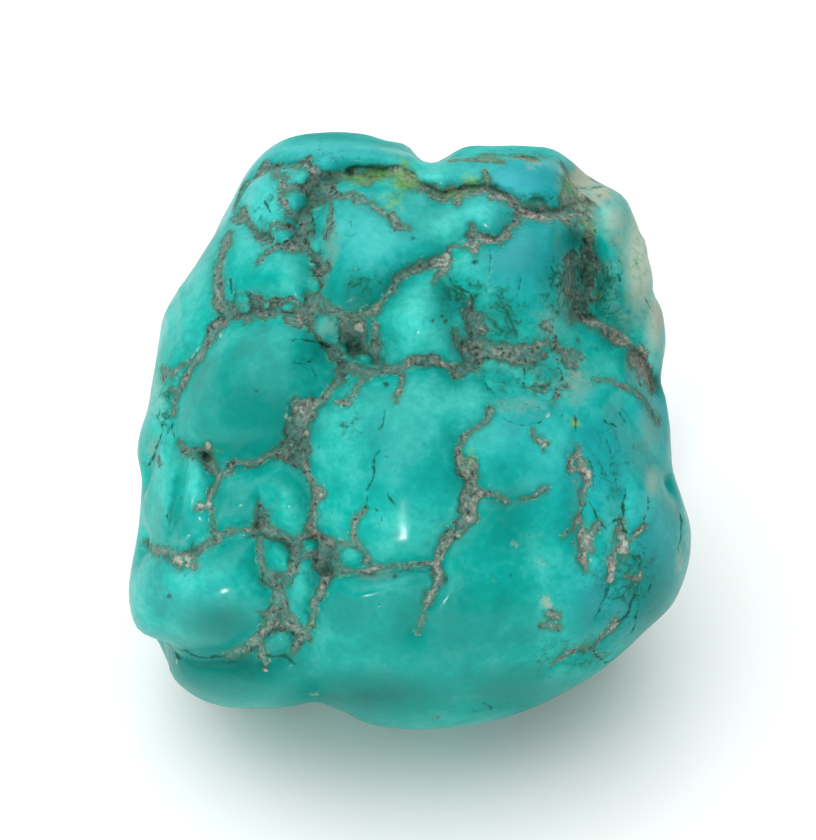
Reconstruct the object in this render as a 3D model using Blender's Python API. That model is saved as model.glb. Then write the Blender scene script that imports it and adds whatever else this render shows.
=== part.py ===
"""A raw turquoise nugget: one lumpy, tumbled stone that leans back on a worn flat underside.

The stone has one broad face, crowded with rounded nodules that meet in valleys. Every mark is laid out on
that face in its own axes, in millimetres: right, up the face, and toward an eye in front of it. The stone
is then stood up so that the face looks FACE_LEAN above the horizon.
"""

import math

import bmesh
import bpy
import numpy as np
from mathutils import Vector, noise

NODE_NAME = "turquoise_nugget"
MM = 0.001

# How the stone stands.
FACE_LEAN = math.radians(50)
FACE_CENTRE = (0.0, -0.6, 25.0)

# The plain body: how far it reaches toward and away from the eye, and how square its section is.
FRONT_DEPTH = 19.0
BACK_DEPTH = 22.5
FRONT_SQUARENESS = 2.45
BACK_SQUARENESS = 2.35

# Marks on the face are placed as an eye sees them from this far in front of this point of the face.
EYE_DISTANCE = 450.0
EYE_POINT = (-0.2, 1.0)

# The outline bends with the small lobes only near the rim, and is rounder in front of it and behind it.
RIM_REACH = 7.0
OUTLINE_SMOOTHING = math.radians(26)

# The cube that is blown up into the stone: its quads crowd toward the face, and its skin is let out a
# little, because flat facets cut inside a round surface.
QUADS_PER_SIDE = 29
FACE_CROWDING = 0.22
SKIN_ALLOWANCE = 0.25
SOFTENING_PASSES = 4
WAVINESS = 0.45
WAVE_LENGTH = 7.0
JUNCTION_POWER = 3.0
RIM_RELIEF = 0.5

TURQUOISE_COLOUR = (0.036, 0.371, 0.342, 1.0)
TURQUOISE_ROUGHNESS = 0.25

# The rim of the broad face, clockwise from its left: right, up.
OUTLINE = (
    (-26.9, 0.1), (-26.1, 2.1), (-25.5, 5.3), (-25.1, 8.5), (-24.6, 11.5), (-23.1, 14.1), (-21.3, 16.3),
    (-20.1, 18.3), (-19.0, 20.9), (-17.8, 23.1), (-16.2, 26.0), (-14.4, 28.0), (-12.0, 29.3), (-8.6, 29.8),
    (-5.0, 29.7), (-2.3, 29.0), (0.0, 28.4), (1.1, 27.4), (2.2, 27.0), (3.4, 27.4), (4.9, 28.2),
    (8.5, 28.45), (12.0, 28.45), (14.4, 28.1), (16.1, 27.0), (17.9, 25.5), (19.4, 24.6), (21.6, 23.1), (22.4, 21.0),
    (23.1, 18.0), (23.6, 15.6), (24.6, 13.0), (25.3, 10.6), (25.4, 8.0), (24.8, 6.1), (24.6, 4.8), (25.3, 3.3),
    (25.8, 1.0), (25.9, -1.5), (26.0, -4.1), (27.1, -7.0), (28.0, -9.8), (28.0, -12.0), (27.3, -15.1),
    (25.9, -17.8), (24.0, -19.5), (21.5, -21.6), (19.9, -23.0), (18.0, -24.4), (15.0, -26.1), (12.5, -27.5),
    (9.0, -28.8), (6.0, -29.4), (2.5, -29.7), (-1.5, -29.7), (-4.6, -29.1), (-7.0, -27.7), (-9.2, -26.75),
    (-11.5, -27.1), (-15.0, -27.6), (-18.2, -27.7), (-20.9, -26.9), (-23.2, -25.2), (-24.8, -22.9),
    (-25.6, -21.2), (-27.2, -19.2), (-27.9, -16.6), (-27.7, -13.5), (-27.2, -10.5), (-26.6, -6.8),
    (-26.45, -4.9), (-27.2, -2.2),
)

# Nodules: right, up, half width, half height, bulge. The first list is on the face, the second behind it.
FACE_NODULES = (
    (3.0, -9.0, 15.0, 13.0, 1.2),
    (0.0, 25.0, 17.0, 7.0, -1.6),
    (-14.8, 4.6, 6.8, 5.8, 2.7),
    (-17.4, -7.9, 2.7, 2.5, 1.8),
    (-11.7, -7.5, 2.3, 2.7, 2.0),
    (-22.8, -6.6, 3.0, 4.6, 1.0),
    (-20.8, -16.0, 4.4, 4.2, 2.4),
    (-26.0, -16.8, 2.2, 4.0, 1.6),
    (-0.6, -4.0, 4.4, 7.6, 2.6),
    (11.0, -2.6, 6.2, 5.6, 1.2),
    (6.0, -19.0, 11.0, 6.5, 1.7),
    (-5.0, -17.2, 4.2, 3.0, 0.9),
    (-17.0, -25.0, 7.0, 2.6, 0.9),
    (-14.5, 16.5, 4.0, 3.3, 1.0),
    (-13.8, 22.8, 3.4, 3.6, 0.9),
    (-8.0, 27.6, 6.5, 2.2, 1.0),
    (-4.4, 18.6, 4.2, 4.8, 1.5),
    (0.9, 10.6, 3.3, 3.4, 1.9),
    (11.0, 17.0, 4.2, 4.8, 1.5),
    (7.5, 21.6, 1.9, 1.9, 1.2),
    (2.4, 25.4, 2.2, 1.0, 1.0),
    (11.5, 25.4, 4.2, 1.9, 1.0),
    (22.6, 15.0, 2.6, 7.0, 1.3),
    (20.0, 1.5, 3.6, 4.0, 0.7),
    (23.6, -11.0, 3.8, 6.0, 0.9),
)
BACK_NODULES = (
    (-16.0, 12.0, 5.5, 5.0, 1.7),
    (-8.0, 22.0, 6.5, 4.5, 1.4),
    (10.0, 22.5, 6.0, 4.5, 1.5),
    (17.5, 13.5, 5.0, 5.5, 1.6),
    (4.5, 13.0, 4.6, 4.4, 1.2),
    (19.5, -1.0, 5.0, 5.0, 1.6),
    (3.0, 0.5, 6.0, 5.5, 1.3),
    (-16.0, -2.5, 6.0, 4.6, 1.6),
    (-17.0, -18.0, 6.5, 5.0, 1.6),
    (19.0, -15.5, 5.0, 6.0, 1.5),
)

# Valleys: floor half width, depth, width of the rounded shoulder, then the path: right, up.
FACE_VALLEYS = (
    (0.3, 2.2, 4.0, ((-24.0, 0.6), (-23.4, 3.4), (-22.0, 6.0), (-20.2, 9.0), (-18.4, 11.4), (-15.3, 12.1),
                     (-12.6, 12.2), (-9.8, 10.6), (-8.2, 8.6))),
    (1.0, 4.0, 5.0, ((-7.6, 8.0), (-5.6, 8.5), (-3.6, 7.6))),
    (0.4, 2.2, 4.2, ((-3.4, 7.2), (-1.2, 6.1), (2.4, 6.9), (4.8, 5.9), (6.6, 8.0))),
    (1.3, 2.8, 4.6, ((6.6, 8.0), (10.0, 6.4), (13.6, 6.4), (16.8, 7.6), (19.8, 9.6))),
    (0.5, 2.6, 3.6, ((19.8, 9.6), (21.6, 8.8), (23.2, 6.6), (24.5, 4.5))),
    (0.5, 1.9, 3.4, ((-6.9, 5.6), (-8.6, 3.4), (-10.8, 1.4), (-11.5, -1.2), (-10.8, -3.4), (-9.8, -5.6),
                     (-9.6, -9.0), (-8.6, -11.4), (-8.4, -14.0), (-9.5, -17.4), (-10.6, -20.6))),
    (0.3, 1.8, 3.0, ((-23.2, -1.4), (-20.3, -2.5), (-17.5, -3.3), (-14.6, -2.8), (-12.2, -2.0))),
    (0.2, 1.4, 2.6, ((-20.2, -2.6), (-19.2, -4.8), (-20.0, -7.4), (-19.8, -10.2))),
    (0.6, 2.2, 3.2, ((-26.8, -11.6), (-24.2, -12.3), (-22.6, -13.1), (-20.4, -11.5), (-17.6, -10.2),
                     (-14.6, -9.7), (-11.8, -11.0), (-9.6, -10.4))),
    (0.6, 1.8, 3.0, ((-14.9, -11.6), (-14.8, -13.8), (-13.3, -16.2), (-13.2, -18.4), (-15.6, -20.8),
                     (-17.8, -22.5), (-21.2, -22.7), (-25.4, -21.9))),
    (0.2, 1.2, 3.0, ((-11.0, -21.0), (-12.6, -22.5), (-14.6, -23.4))),
    (0.2, 1.0, 3.4, ((-9.3, -27.0), (-9.9, -24.6), (-11.0, -21.8))),
    (0.4, 1.4, 2.0, ((-9.0, -14.2), (-6.0, -14.0), (-3.4, -13.9), (-0.8, -13.6), (2.6, -13.4))),
    (0.4, 0.9, 2.6, ((7.8, 1.0), (5.4, -0.6), (4.9, -2.6), (5.9, -5.0), (5.9, -8.0), (4.6, -10.2),
                     (2.9, -11.8), (2.7, -14.6), (1.6, -17.5), (0.6, -20.2))),
    (0.1, 0.7, 1.8, ((6.6, -6.4), (9.6, -7.0), (13.6, -6.0))),
    (0.2, 0.6, 1.8, ((16.6, -2.0), (17.6, -5.0), (17.0, -9.0), (17.5, -13.3))),
    (0.3, 0.6, 1.8, ((21.3, -6.0), (21.2, -10.8), (20.1, -14.4), (18.8, -18.4))),
    (0.2, 0.9, 2.4, ((22.9, -15.2), (21.8, -18.4), (19.4, -20.6), (16.6, -22.1), (13.6, -23.8))),
    (0.8, 1.6, 3.6, ((18.0, 22.6), (17.4, 19.0))),
    (0.8, 3.4, 4.2, ((17.2, 18.2), (17.5, 14.6), (17.3, 12.0))),
    (0.5, 2.4, 3.4, ((17.3, 12.0), (18.4, 10.6), (19.8, 9.8))),
    (0.3, 1.7, 2.8, ((-5.2, 10.2), (-3.0, 12.7), (-1.0, 15.2), (2.0, 16.7), (4.6, 18.3), (6.4, 19.4),
                     (8.8, 19.0), (11.0, 21.3), (15.0, 21.6), (18.0, 22.6))),
    (0.2, 1.2, 2.2, ((3.6, 17.4), (3.2, 15.6), (4.2, 13.4), (6.1, 12.4), (6.6, 8.0))),
    (0.8, 2.0, 2.8, ((-6.8, 5.6), (-8.6, 9.0), (-9.6, 12.4), (-9.1, 16.6), (-10.6, 20.2), (-9.4, 23.2),
                     (-8.0, 24.8), (-5.9, 25.7), (-3.4, 25.6))),
    (0.2, 1.0, 2.0, ((-17.0, 22.3), (-17.3, 21.0), (-14.6, 19.4), (-12.4, 18.3), (-9.6, 17.6))),
    (0.2, 0.8, 1.8, ((-17.2, 23.8), (-16.0, 25.8), (-13.2, 26.7), (-10.2, 26.6), (-8.0, 24.9))),
    (0.3, 1.3, 2.2, ((2.2, 27.2), (0.8, 25.6), (1.4, 24.3), (3.2, 23.2), (5.6, 24.0), (8.4, 23.7),
                     (11.4, 21.8))),
    (0.8, 1.4, 2.4, ((17.4, 25.8), (16.4, 24.0), (17.8, 22.6))),
    (0.4, 1.6, 2.6, ((21.2, 1.8), (23.0, -1.2), (24.6, -3.8), (26.2, -5.6))),
    (0.3, 1.4, 2.4, ((-26.4, -4.9), (-25.6, -2.2), (-24.8, 0.2), (-24.0, 1.4))),
    (0.2, 1.0, 2.6, ((-14.9, -7.0), (-14.8, -10.0))),
    (0.1, 0.8, 2.2, ((19.2, 13.2), (21.4, 13.6), (24.6, 13.6))),
)
BACK_VALLEYS = (
    (0.4, 1.5, 4.4, ((-26.9, 0.4), (-21.0, 3.4), (-14.0, 5.6), (-8.0, 3.4), (-2.5, 6.4), (4.0, 7.6),
                     (11.0, 8.2), (18.0, 6.0), (24.6, 4.6))),
    (0.4, 1.2, 3.8, ((2.2, 27.0), (1.4, 20.0), (-2.6, 13.0), (-2.5, 6.4))),
    (0.4, 1.1, 3.8, ((-9.2, -26.8), (-9.6, -20.0), (-6.4, -11.0), (-8.4, -3.6), (-8.0, 3.4))),
    (0.4, 1.3, 3.8, ((26.6, -5.8), (19.0, -8.0), (11.6, -4.6), (11.0, 8.2))),
    (0.4, 1.0, 3.6, ((11.6, -4.6), (8.6, -13.0), (12.6, -20.0), (15.0, -26.1))),
    (0.4, 1.3, 3.6, ((-27.5, -12.0), (-20.0, -11.4), (-14.0, -9.4), (-8.4, -3.6))),
    (0.4, 1.0, 3.4, ((-19.6, 19.4), (-13.0, 17.8), (-7.0, 15.4), (-2.6, 13.0))),
    (0.4, 1.1, 3.4, ((17.9, 25.4), (12.6, 18.2), (9.6, 13.0), (11.0, 8.2))),
)


def outline_radius(angle):
    """Distance from the middle of the face to its rim, along each angle."""
    points = np.array(OUTLINE)
    corner_angle = np.arctan2(points[:, 1], points[:, 0])
    order = np.argsort(corner_angle)
    turn = 2 * math.pi
    known = corner_angle[order]
    known = np.concatenate([known[-2:] - turn, known, known[:2] + turn])
    radius = np.hypot(points[:, 0], points[:, 1])[order]
    radius = np.concatenate([radius[-2:], radius, radius[:2]])
    slope = np.gradient(radius, known)
    wrapped = (angle + math.pi) % turn - math.pi
    left = np.clip(np.searchsorted(known, wrapped) - 1, 0, len(known) - 2)
    span = known[left + 1] - known[left]
    part = (wrapped - known[left]) / span
    # Cubic through both ends with their slopes.
    return (
        (2 * part**3 - 3 * part**2 + 1) * radius[left]
        + (part**3 - 2 * part**2 + part) * span * slope[left]
        + (3 * part**2 - 2 * part**3) * radius[left + 1]
        + (part**3 - part**2) * span * slope[left + 1]
    )


def smooth_radius(angle):
    """The outline with its small lobes averaged away."""
    shifts = np.linspace(-1, 1, 13) * OUTLINE_SMOOTHING
    weights = np.cos(np.linspace(-1, 1, 13) * math.pi / 2) + 0.02
    total = sum(weight * outline_radius(angle + shift) for weight, shift in zip(weights, shifts))
    return total / weights.sum()


def rim_radius(angle, toward):
    """The outline at some distance in front of the rim or behind it."""
    rounder = smooth_radius(angle)
    nearness = np.exp(-((toward / RIM_REACH) ** 2))
    return rounder + (outline_radius(angle) - rounder) * nearness


def plain_body(directions):
    """Points of the smooth body along unit directions, in face axes."""
    sideways = np.hypot(directions[:, 0], directions[:, 1])
    toward = directions[:, 2]
    square = np.where(toward > 0, FRONT_SQUARENESS, BACK_SQUARENESS)
    depth = np.where(toward > 0, FRONT_DEPTH, BACK_DEPTH)
    reach = (sideways**square + np.abs(toward) ** square) ** (-1 / square)
    height = reach * toward * depth
    radius = rim_radius(np.arctan2(directions[:, 1], directions[:, 0]), height)
    return np.column_stack([
        reach * directions[:, 0] * radius,
        reach * directions[:, 1] * radius,
        height,
    ])


def on_body(marks, side):
    """Lay marks, seen as right and up, on the front (side 1) or the back (side -1) of the smooth body."""
    seen = np.array(marks, float)
    eye = np.array(EYE_POINT)
    square = FRONT_SQUARENESS if side > 0 else BACK_SQUARENESS
    depth = FRONT_DEPTH if side > 0 else BACK_DEPTH
    height = np.zeros(len(seen))
    place = seen
    for _ in range(6):
        place = eye + (seen - eye) * (1 - np.maximum(height, 0) / EYE_DISTANCE)[:, None]
        radius = rim_radius(np.arctan2(place[:, 1], place[:, 0]), height)
        share = np.clip(np.hypot(place[:, 0], place[:, 1]) / radius, 0, 1)
        height = side * depth * (1 - share**square) ** (1 / square)
    return np.column_stack([place, height])


def distance_to_path(points, path):
    """Distance from each point to the nearest place on a path."""
    nearest = np.full(len(points), np.inf)
    for start, end in zip(path[:-1], path[1:]):
        along = end - start
        share = np.clip((points - start) @ along / (along @ along), 0, 1)
        gap = np.linalg.norm(points - start - share[:, None] * along, axis=1)
        nearest = np.minimum(nearest, gap)
    return nearest


def dense(marks, step=1.5):
    """The same path with a mark at least every step millimetres."""
    marks = np.array(marks, float)
    pieces = [marks[:1]]
    for start, end in zip(marks[:-1], marks[1:]):
        count = max(1, math.ceil(np.linalg.norm(end - start) / step))
        pieces.append(start + (end - start) * (np.arange(1, count + 1) / count)[:, None])
    return np.concatenate(pieces)


def valley_depth(points):
    """How deep the valleys are under the smooth body at each point."""
    total = np.zeros(len(points))
    for side, valleys in ((1, FACE_VALLEYS), (-1, BACK_VALLEYS)):
        for floor, depth, shoulder, marks in valleys:
            gap = distance_to_path(points, on_body(dense(marks), side)) - floor
            slope = 1 - np.clip(gap / shoulder, 0, 1)
            total += (depth * slope**2) ** JUNCTION_POWER
    return total ** (1 / JUNCTION_POWER)


def nodule_height(points):
    """How far the nodules bulge over the smooth body at each point."""
    total = np.zeros(len(points))
    for side, nodules in ((1, FACE_NODULES), (-1, BACK_NODULES)):
        facing = np.clip(side * points[:, 2] / 6, 0, 1)
        for right, up, half_width, half_height, bulge in nodules:
            middle = on_body([(right, up)], side)[0]
            across = (points[:, 0] - middle[0]) / half_width
            along = (points[:, 1] - middle[1]) / half_height
            total += facing * bulge * np.exp(-(across**2 + along**2))
    return total


def waves(points):
    """Gentle swells that no rule explains."""
    heights = [noise.noise(Vector(point) / WAVE_LENGTH) for point in points]
    return WAVINESS * np.array(heights)


def outward(points, directions):
    """The way relief moves a point: along its normal at the rim and behind it, toward the eye on the face."""
    toward = directions[:, 2]
    square = np.where(toward > 0, FRONT_SQUARENESS, BACK_SQUARENESS)
    depth = np.where(toward > 0, FRONT_DEPTH, BACK_DEPTH)
    wide = rim_radius(np.arctan2(points[:, 1], points[:, 0]), points[:, 2])
    normal = np.column_stack([
        np.sign(points[:, 0]) * np.abs(points[:, 0] / wide) ** (square - 1) / wide,
        np.sign(points[:, 1]) * np.abs(points[:, 1] / wide) ** (square - 1) / wide,
        np.sign(points[:, 2]) * np.abs(points[:, 2] / depth) ** (square - 1) / depth,
    ])
    normal /= np.linalg.norm(normal, axis=1)[:, None]
    facing = np.clip((normal[:, 2] - 0.2) / 0.4, 0, 1)[:, None]
    to_eye = np.array([*EYE_POINT, EYE_DISTANCE]) - points
    to_eye /= np.linalg.norm(to_eye, axis=1)[:, None]
    return normal * (1 - facing) + to_eye * facing


def stone_points(directions):
    """Points of the stone along unit directions, in face axes."""
    body = plain_body(directions)
    rim = np.exp(-((body[:, 2] / 4) ** 2))
    relief = nodule_height(body) - valley_depth(body) * (1 - RIM_RELIEF * rim) + waves(body) * (1 - rim)
    relief += SKIN_ALLOWANCE
    return body + relief[:, None] * outward(body, directions)


def stand_up(points):
    """Face axes to the stone's own axes, +Z up and the origin under its middle."""
    lean = FACE_LEAN
    right = np.array([1, 0, 0])
    up = np.array([0, math.sin(lean), math.cos(lean)])
    toward = np.array([0, -math.cos(lean), math.sin(lean)])
    axes = np.array([right, up, toward])
    return points @ axes + np.array(FACE_CENTRE)


def round_cube():
    """A cube cut into quads and blown up to a ball of radius 1, with the smaller quads toward the face."""
    mesh = bmesh.new()
    bmesh.ops.create_cube(mesh, size=2)
    bmesh.ops.subdivide_edges(mesh, edges=mesh.edges, cuts=QUADS_PER_SIDE - 1, use_grid_fill=True)
    for vert in mesh.verts:
        evenly = Vector([math.tan(side * math.pi / 4) for side in vert.co]).normalized()
        vert.co = (evenly + Vector((0, 0, FACE_CROWDING))).normalized()
    return mesh


def wear_flat(mesh):
    """Cut the underside off level and close it, as the face that the stone rests on."""
    everything = mesh.verts[:] + mesh.edges[:] + mesh.faces[:]
    cut = bmesh.ops.bisect_plane(
        mesh, geom=everything, plane_co=(0, 0, 0), plane_no=(0, 0, -1), clear_outer=True
    )
    edges = [part for part in cut["geom_cut"] if isinstance(part, bmesh.types.BMEdge)]
    bmesh.ops.contextual_create(mesh, geom=edges)
    bmesh.ops.recalc_face_normals(mesh, faces=mesh.faces)


def turquoise():
    material = bpy.data.materials.new("turquoise")
    material.use_nodes = True
    shader = material.node_tree.nodes["Principled BSDF"]
    shader.inputs["Base Color"].default_value = TURQUOISE_COLOUR
    shader.inputs["Roughness"].default_value = TURQUOISE_ROUGHNESS
    shader.inputs["Metallic"].default_value = 0.0
    return material


def nugget(collection):
    """The whole stone, as one closed mesh."""
    mesh = round_cube()
    directions = np.array([vert.co[:] for vert in mesh.verts])
    places = stand_up(stone_points(directions)) * MM
    for vert, place in zip(mesh.verts, places):
        vert.co = place
    for _ in range(SOFTENING_PASSES):
        bmesh.ops.smooth_vert(
            mesh, verts=mesh.verts, factor=0.5, use_axis_x=True, use_axis_y=True, use_axis_z=True
        )
    wear_flat(mesh)
    data = bpy.data.meshes.new(NODE_NAME)
    mesh.to_mesh(data)
    mesh.free()
    data.materials.append(turquoise())
    data.shade_smooth()
    stone = bpy.data.objects.new(NODE_NAME, data)
    collection.objects.link(stone)
    return stone


def main():
    for old in list(bpy.data.objects):
        bpy.data.objects.remove(old)
    collection = bpy.data.collections.new("turquoise nugget")
    bpy.context.scene.collection.children.link(collection)
    nugget(collection)


main()
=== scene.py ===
import math

import bmesh
import bpy
import numpy as np
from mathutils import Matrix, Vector, noise


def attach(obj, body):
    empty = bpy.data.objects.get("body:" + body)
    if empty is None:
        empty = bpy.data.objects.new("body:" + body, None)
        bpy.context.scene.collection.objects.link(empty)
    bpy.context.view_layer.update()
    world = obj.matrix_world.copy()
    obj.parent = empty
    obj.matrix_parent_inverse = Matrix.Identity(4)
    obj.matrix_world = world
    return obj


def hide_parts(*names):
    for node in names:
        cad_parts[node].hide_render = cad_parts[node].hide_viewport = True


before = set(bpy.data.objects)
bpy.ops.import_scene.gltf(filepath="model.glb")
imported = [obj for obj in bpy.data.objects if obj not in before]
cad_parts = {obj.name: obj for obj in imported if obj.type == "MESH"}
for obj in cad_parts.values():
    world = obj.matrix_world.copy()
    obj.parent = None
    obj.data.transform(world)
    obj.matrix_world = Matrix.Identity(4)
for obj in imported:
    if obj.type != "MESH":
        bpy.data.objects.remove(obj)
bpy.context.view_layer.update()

mm = 0.001
noise.seed_set(11)      # without it noise_vector starts from the clock and no two runs are alike

# ---- how the stone stands, the same as in its CAD model: face axes are right, up and toward the eye, in mm
stance = {
    "faceLean": math.radians(50),      # the broad face looks this far above the horizon
    "faceCentre": (0.0, -0.6, 25.0),
    "eyeDistance": 450.0,
    "eyePoint": (-0.2, 1.0),
}

lean = stance["faceLean"]
faceAxes = np.array([
    [1, 0, 0],
    [0, math.sin(lean), math.cos(lean)],
    [0, -math.cos(lean), math.sin(lean)],
])
eyePoint = np.array(stance["eyePoint"])
eyePlace = np.array([*stance["eyePoint"], stance["eyeDistance"]])


def standUp(points):
    return points @ faceAxes + np.array(stance["faceCentre"])


# ---- the plain body and its broad forms, as in the CAD model
body = {
    "frontDepth": 19.0, "backDepth": 22.5,
    "frontSquareness": 2.45, "backSquareness": 2.35,
    "rimReach": 7.0,                         # how far the small lobes of the outline carry on
    "outlineSmoothing": math.radians(26),
    "waviness": 0.45, "waveLength": 7.0,
    "junctionPower": 3.0, "rimRelief": 0.5,
}

outline = (
    (-26.9, 0.1), (-26.1, 2.1), (-25.5, 5.3), (-25.1, 8.5), (-24.6, 11.5), (-23.1, 14.1), (-21.3, 16.3),
    (-20.1, 18.3), (-19.0, 20.9), (-17.8, 23.1), (-16.2, 26.0), (-14.4, 28.0), (-12.0, 29.3), (-8.6, 29.8),
    (-5.0, 29.7), (-2.3, 29.0), (0.0, 28.4), (1.1, 27.4), (2.2, 27.0), (3.4, 27.4), (4.9, 28.2),
    (8.5, 28.45), (12.0, 28.45), (14.4, 28.1), (16.1, 27.0), (17.9, 25.5), (19.4, 24.6), (21.6, 23.1),
    (22.4, 21.0), (23.1, 18.0), (23.6, 15.6), (24.6, 13.0), (25.3, 10.6), (25.4, 8.0), (24.8, 6.1),
    (24.6, 4.8), (25.3, 3.3), (25.8, 1.0), (25.9, -1.5), (26.0, -4.1), (27.1, -7.0), (28.0, -9.8),
    (28.0, -12.0), (27.3, -15.1), (25.9, -17.8), (24.0, -19.5), (21.5, -21.6), (19.9, -23.0), (18.0, -24.4),
    (15.0, -26.1), (12.5, -27.5), (9.0, -28.8), (6.0, -29.4), (2.5, -29.7), (-1.5, -29.7), (-4.6, -29.1),
    (-7.0, -27.7), (-9.2, -26.75), (-11.5, -27.1), (-15.0, -27.6), (-18.2, -27.7), (-20.9, -26.9),
    (-23.2, -25.2), (-24.8, -22.9), (-25.6, -21.2), (-27.2, -19.2), (-27.9, -16.6), (-27.7, -13.5),
    (-27.2, -10.5), (-26.6, -6.8), (-26.45, -4.9), (-27.2, -2.2),
)

# nodules: right, up, half width, half height, bulge
faceNodules = (
    (3.0, -9.0, 15.0, 13.0, 1.2),
    (0.0, 25.0, 17.0, 7.0, -1.6),
    (-14.8, 4.6, 6.8, 5.8, 2.7),
    (-17.4, -7.9, 2.7, 2.5, 1.8),
    (-11.7, -7.5, 2.3, 2.7, 2.0),
    (-22.6, -7.0, 3.0, 5.0, 0.5),
    (-24.4, -5.8, 1.4, 3.8, 0.8),
    (-21.4, -5.2, 1.3, 2.8, 0.8),
    (-20.8, -16.0, 4.4, 4.2, 2.4),
    (-26.0, -16.8, 2.2, 4.0, 1.6),
    (-0.6, -4.0, 4.4, 7.6, 2.6),
    (11.0, -2.6, 6.2, 5.6, 1.2),
    (6.0, -19.0, 11.0, 6.5, 1.7),
    (-5.0, -17.2, 4.2, 3.0, 0.9),
    (-17.0, -25.0, 7.0, 2.6, 0.9),
    (-14.5, 16.5, 4.0, 3.3, 1.0),
    (-13.8, 22.8, 3.4, 3.6, 0.9),
    (-8.0, 27.6, 6.5, 2.2, 1.0),
    (-4.4, 18.6, 4.2, 4.8, 1.5),
    (0.9, 10.6, 3.3, 3.4, 1.9),
    (11.0, 17.0, 4.2, 4.8, 1.5),
    (7.5, 21.6, 1.9, 1.9, 1.2),
    (2.4, 25.4, 2.2, 1.0, 1.0),
    (11.5, 25.4, 4.2, 1.9, 1.0),
    (22.6, 15.0, 2.6, 7.0, 1.3),
    (20.0, 1.5, 3.6, 4.0, 0.7),
    (23.6, -11.0, 3.8, 6.0, 0.9),
)

# low ridges: height, half width, then the path
faceRidges = (
    (0.5, 0.7, ((4.1, -13.0), (4.4, -14.6), (4.0, -16.0), (3.2, -17.2), (2.3, -18.2))),
    (0.6, 0.9, ((-5.4, -16.6), (-2.8, -15.9), (-0.4, -15.0))),
    (0.5, 0.7, ((21.0, 2.0), (21.8, 0.6), (22.8, -1.2), (23.8, -2.8), (25.4, -4.8))),
    (0.3, 0.5, ((-22.9, 14.2), (-22.7, 11.0), (-22.4, 8.0))),
    (0.3, 0.5, ((-24.2, 12.0), (-24.0, 9.4))),
    (0.3, 0.5, ((-24.9, -0.4), (-25.6, -3.6), (-26.2, -6.0))),
    (0.45, 0.7, ((-23.7, -3.2), (-24.3, -6.0), (-24.9, -9.4))),
    (0.5, 0.7, ((-21.4, -3.6), (-21.9, -5.8), (-22.8, -8.6))),
    (0.35, 0.6, ((13.9, 21.0), (14.4, 18.0), (15.0, 15.0), (14.6, 12.0))),
    (0.3, 0.5, ((23.4, 20.6), (22.8, 16.6), (22.6, 13.0))),
    (0.95, 1.9, ((-17.6, -7.9), (-15.8, -6.5))),
    (1.2, 2.1, ((-12.1, -7.2), (-12.0, -6.6))),
    (0.8, 1.6, ((-10.6, -14.6), (-10.6, -15.0))),
)

backNodules = (
    (-16.0, 12.0, 5.5, 5.0, 1.7),
    (-8.0, 22.0, 6.5, 4.5, 1.4),
    (10.0, 22.5, 6.0, 4.5, 1.5),
    (17.5, 13.5, 5.0, 5.5, 1.6),
    (4.5, 13.0, 4.6, 4.4, 1.2),
    (19.5, -1.0, 5.0, 5.0, 1.6),
    (3.0, 0.5, 6.0, 5.5, 1.3),
    (-16.0, -2.5, 6.0, 4.6, 1.6),
    (-17.0, -18.0, 6.5, 5.0, 1.6),
    (19.0, -15.5, 5.0, 6.0, 1.5),
)

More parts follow.
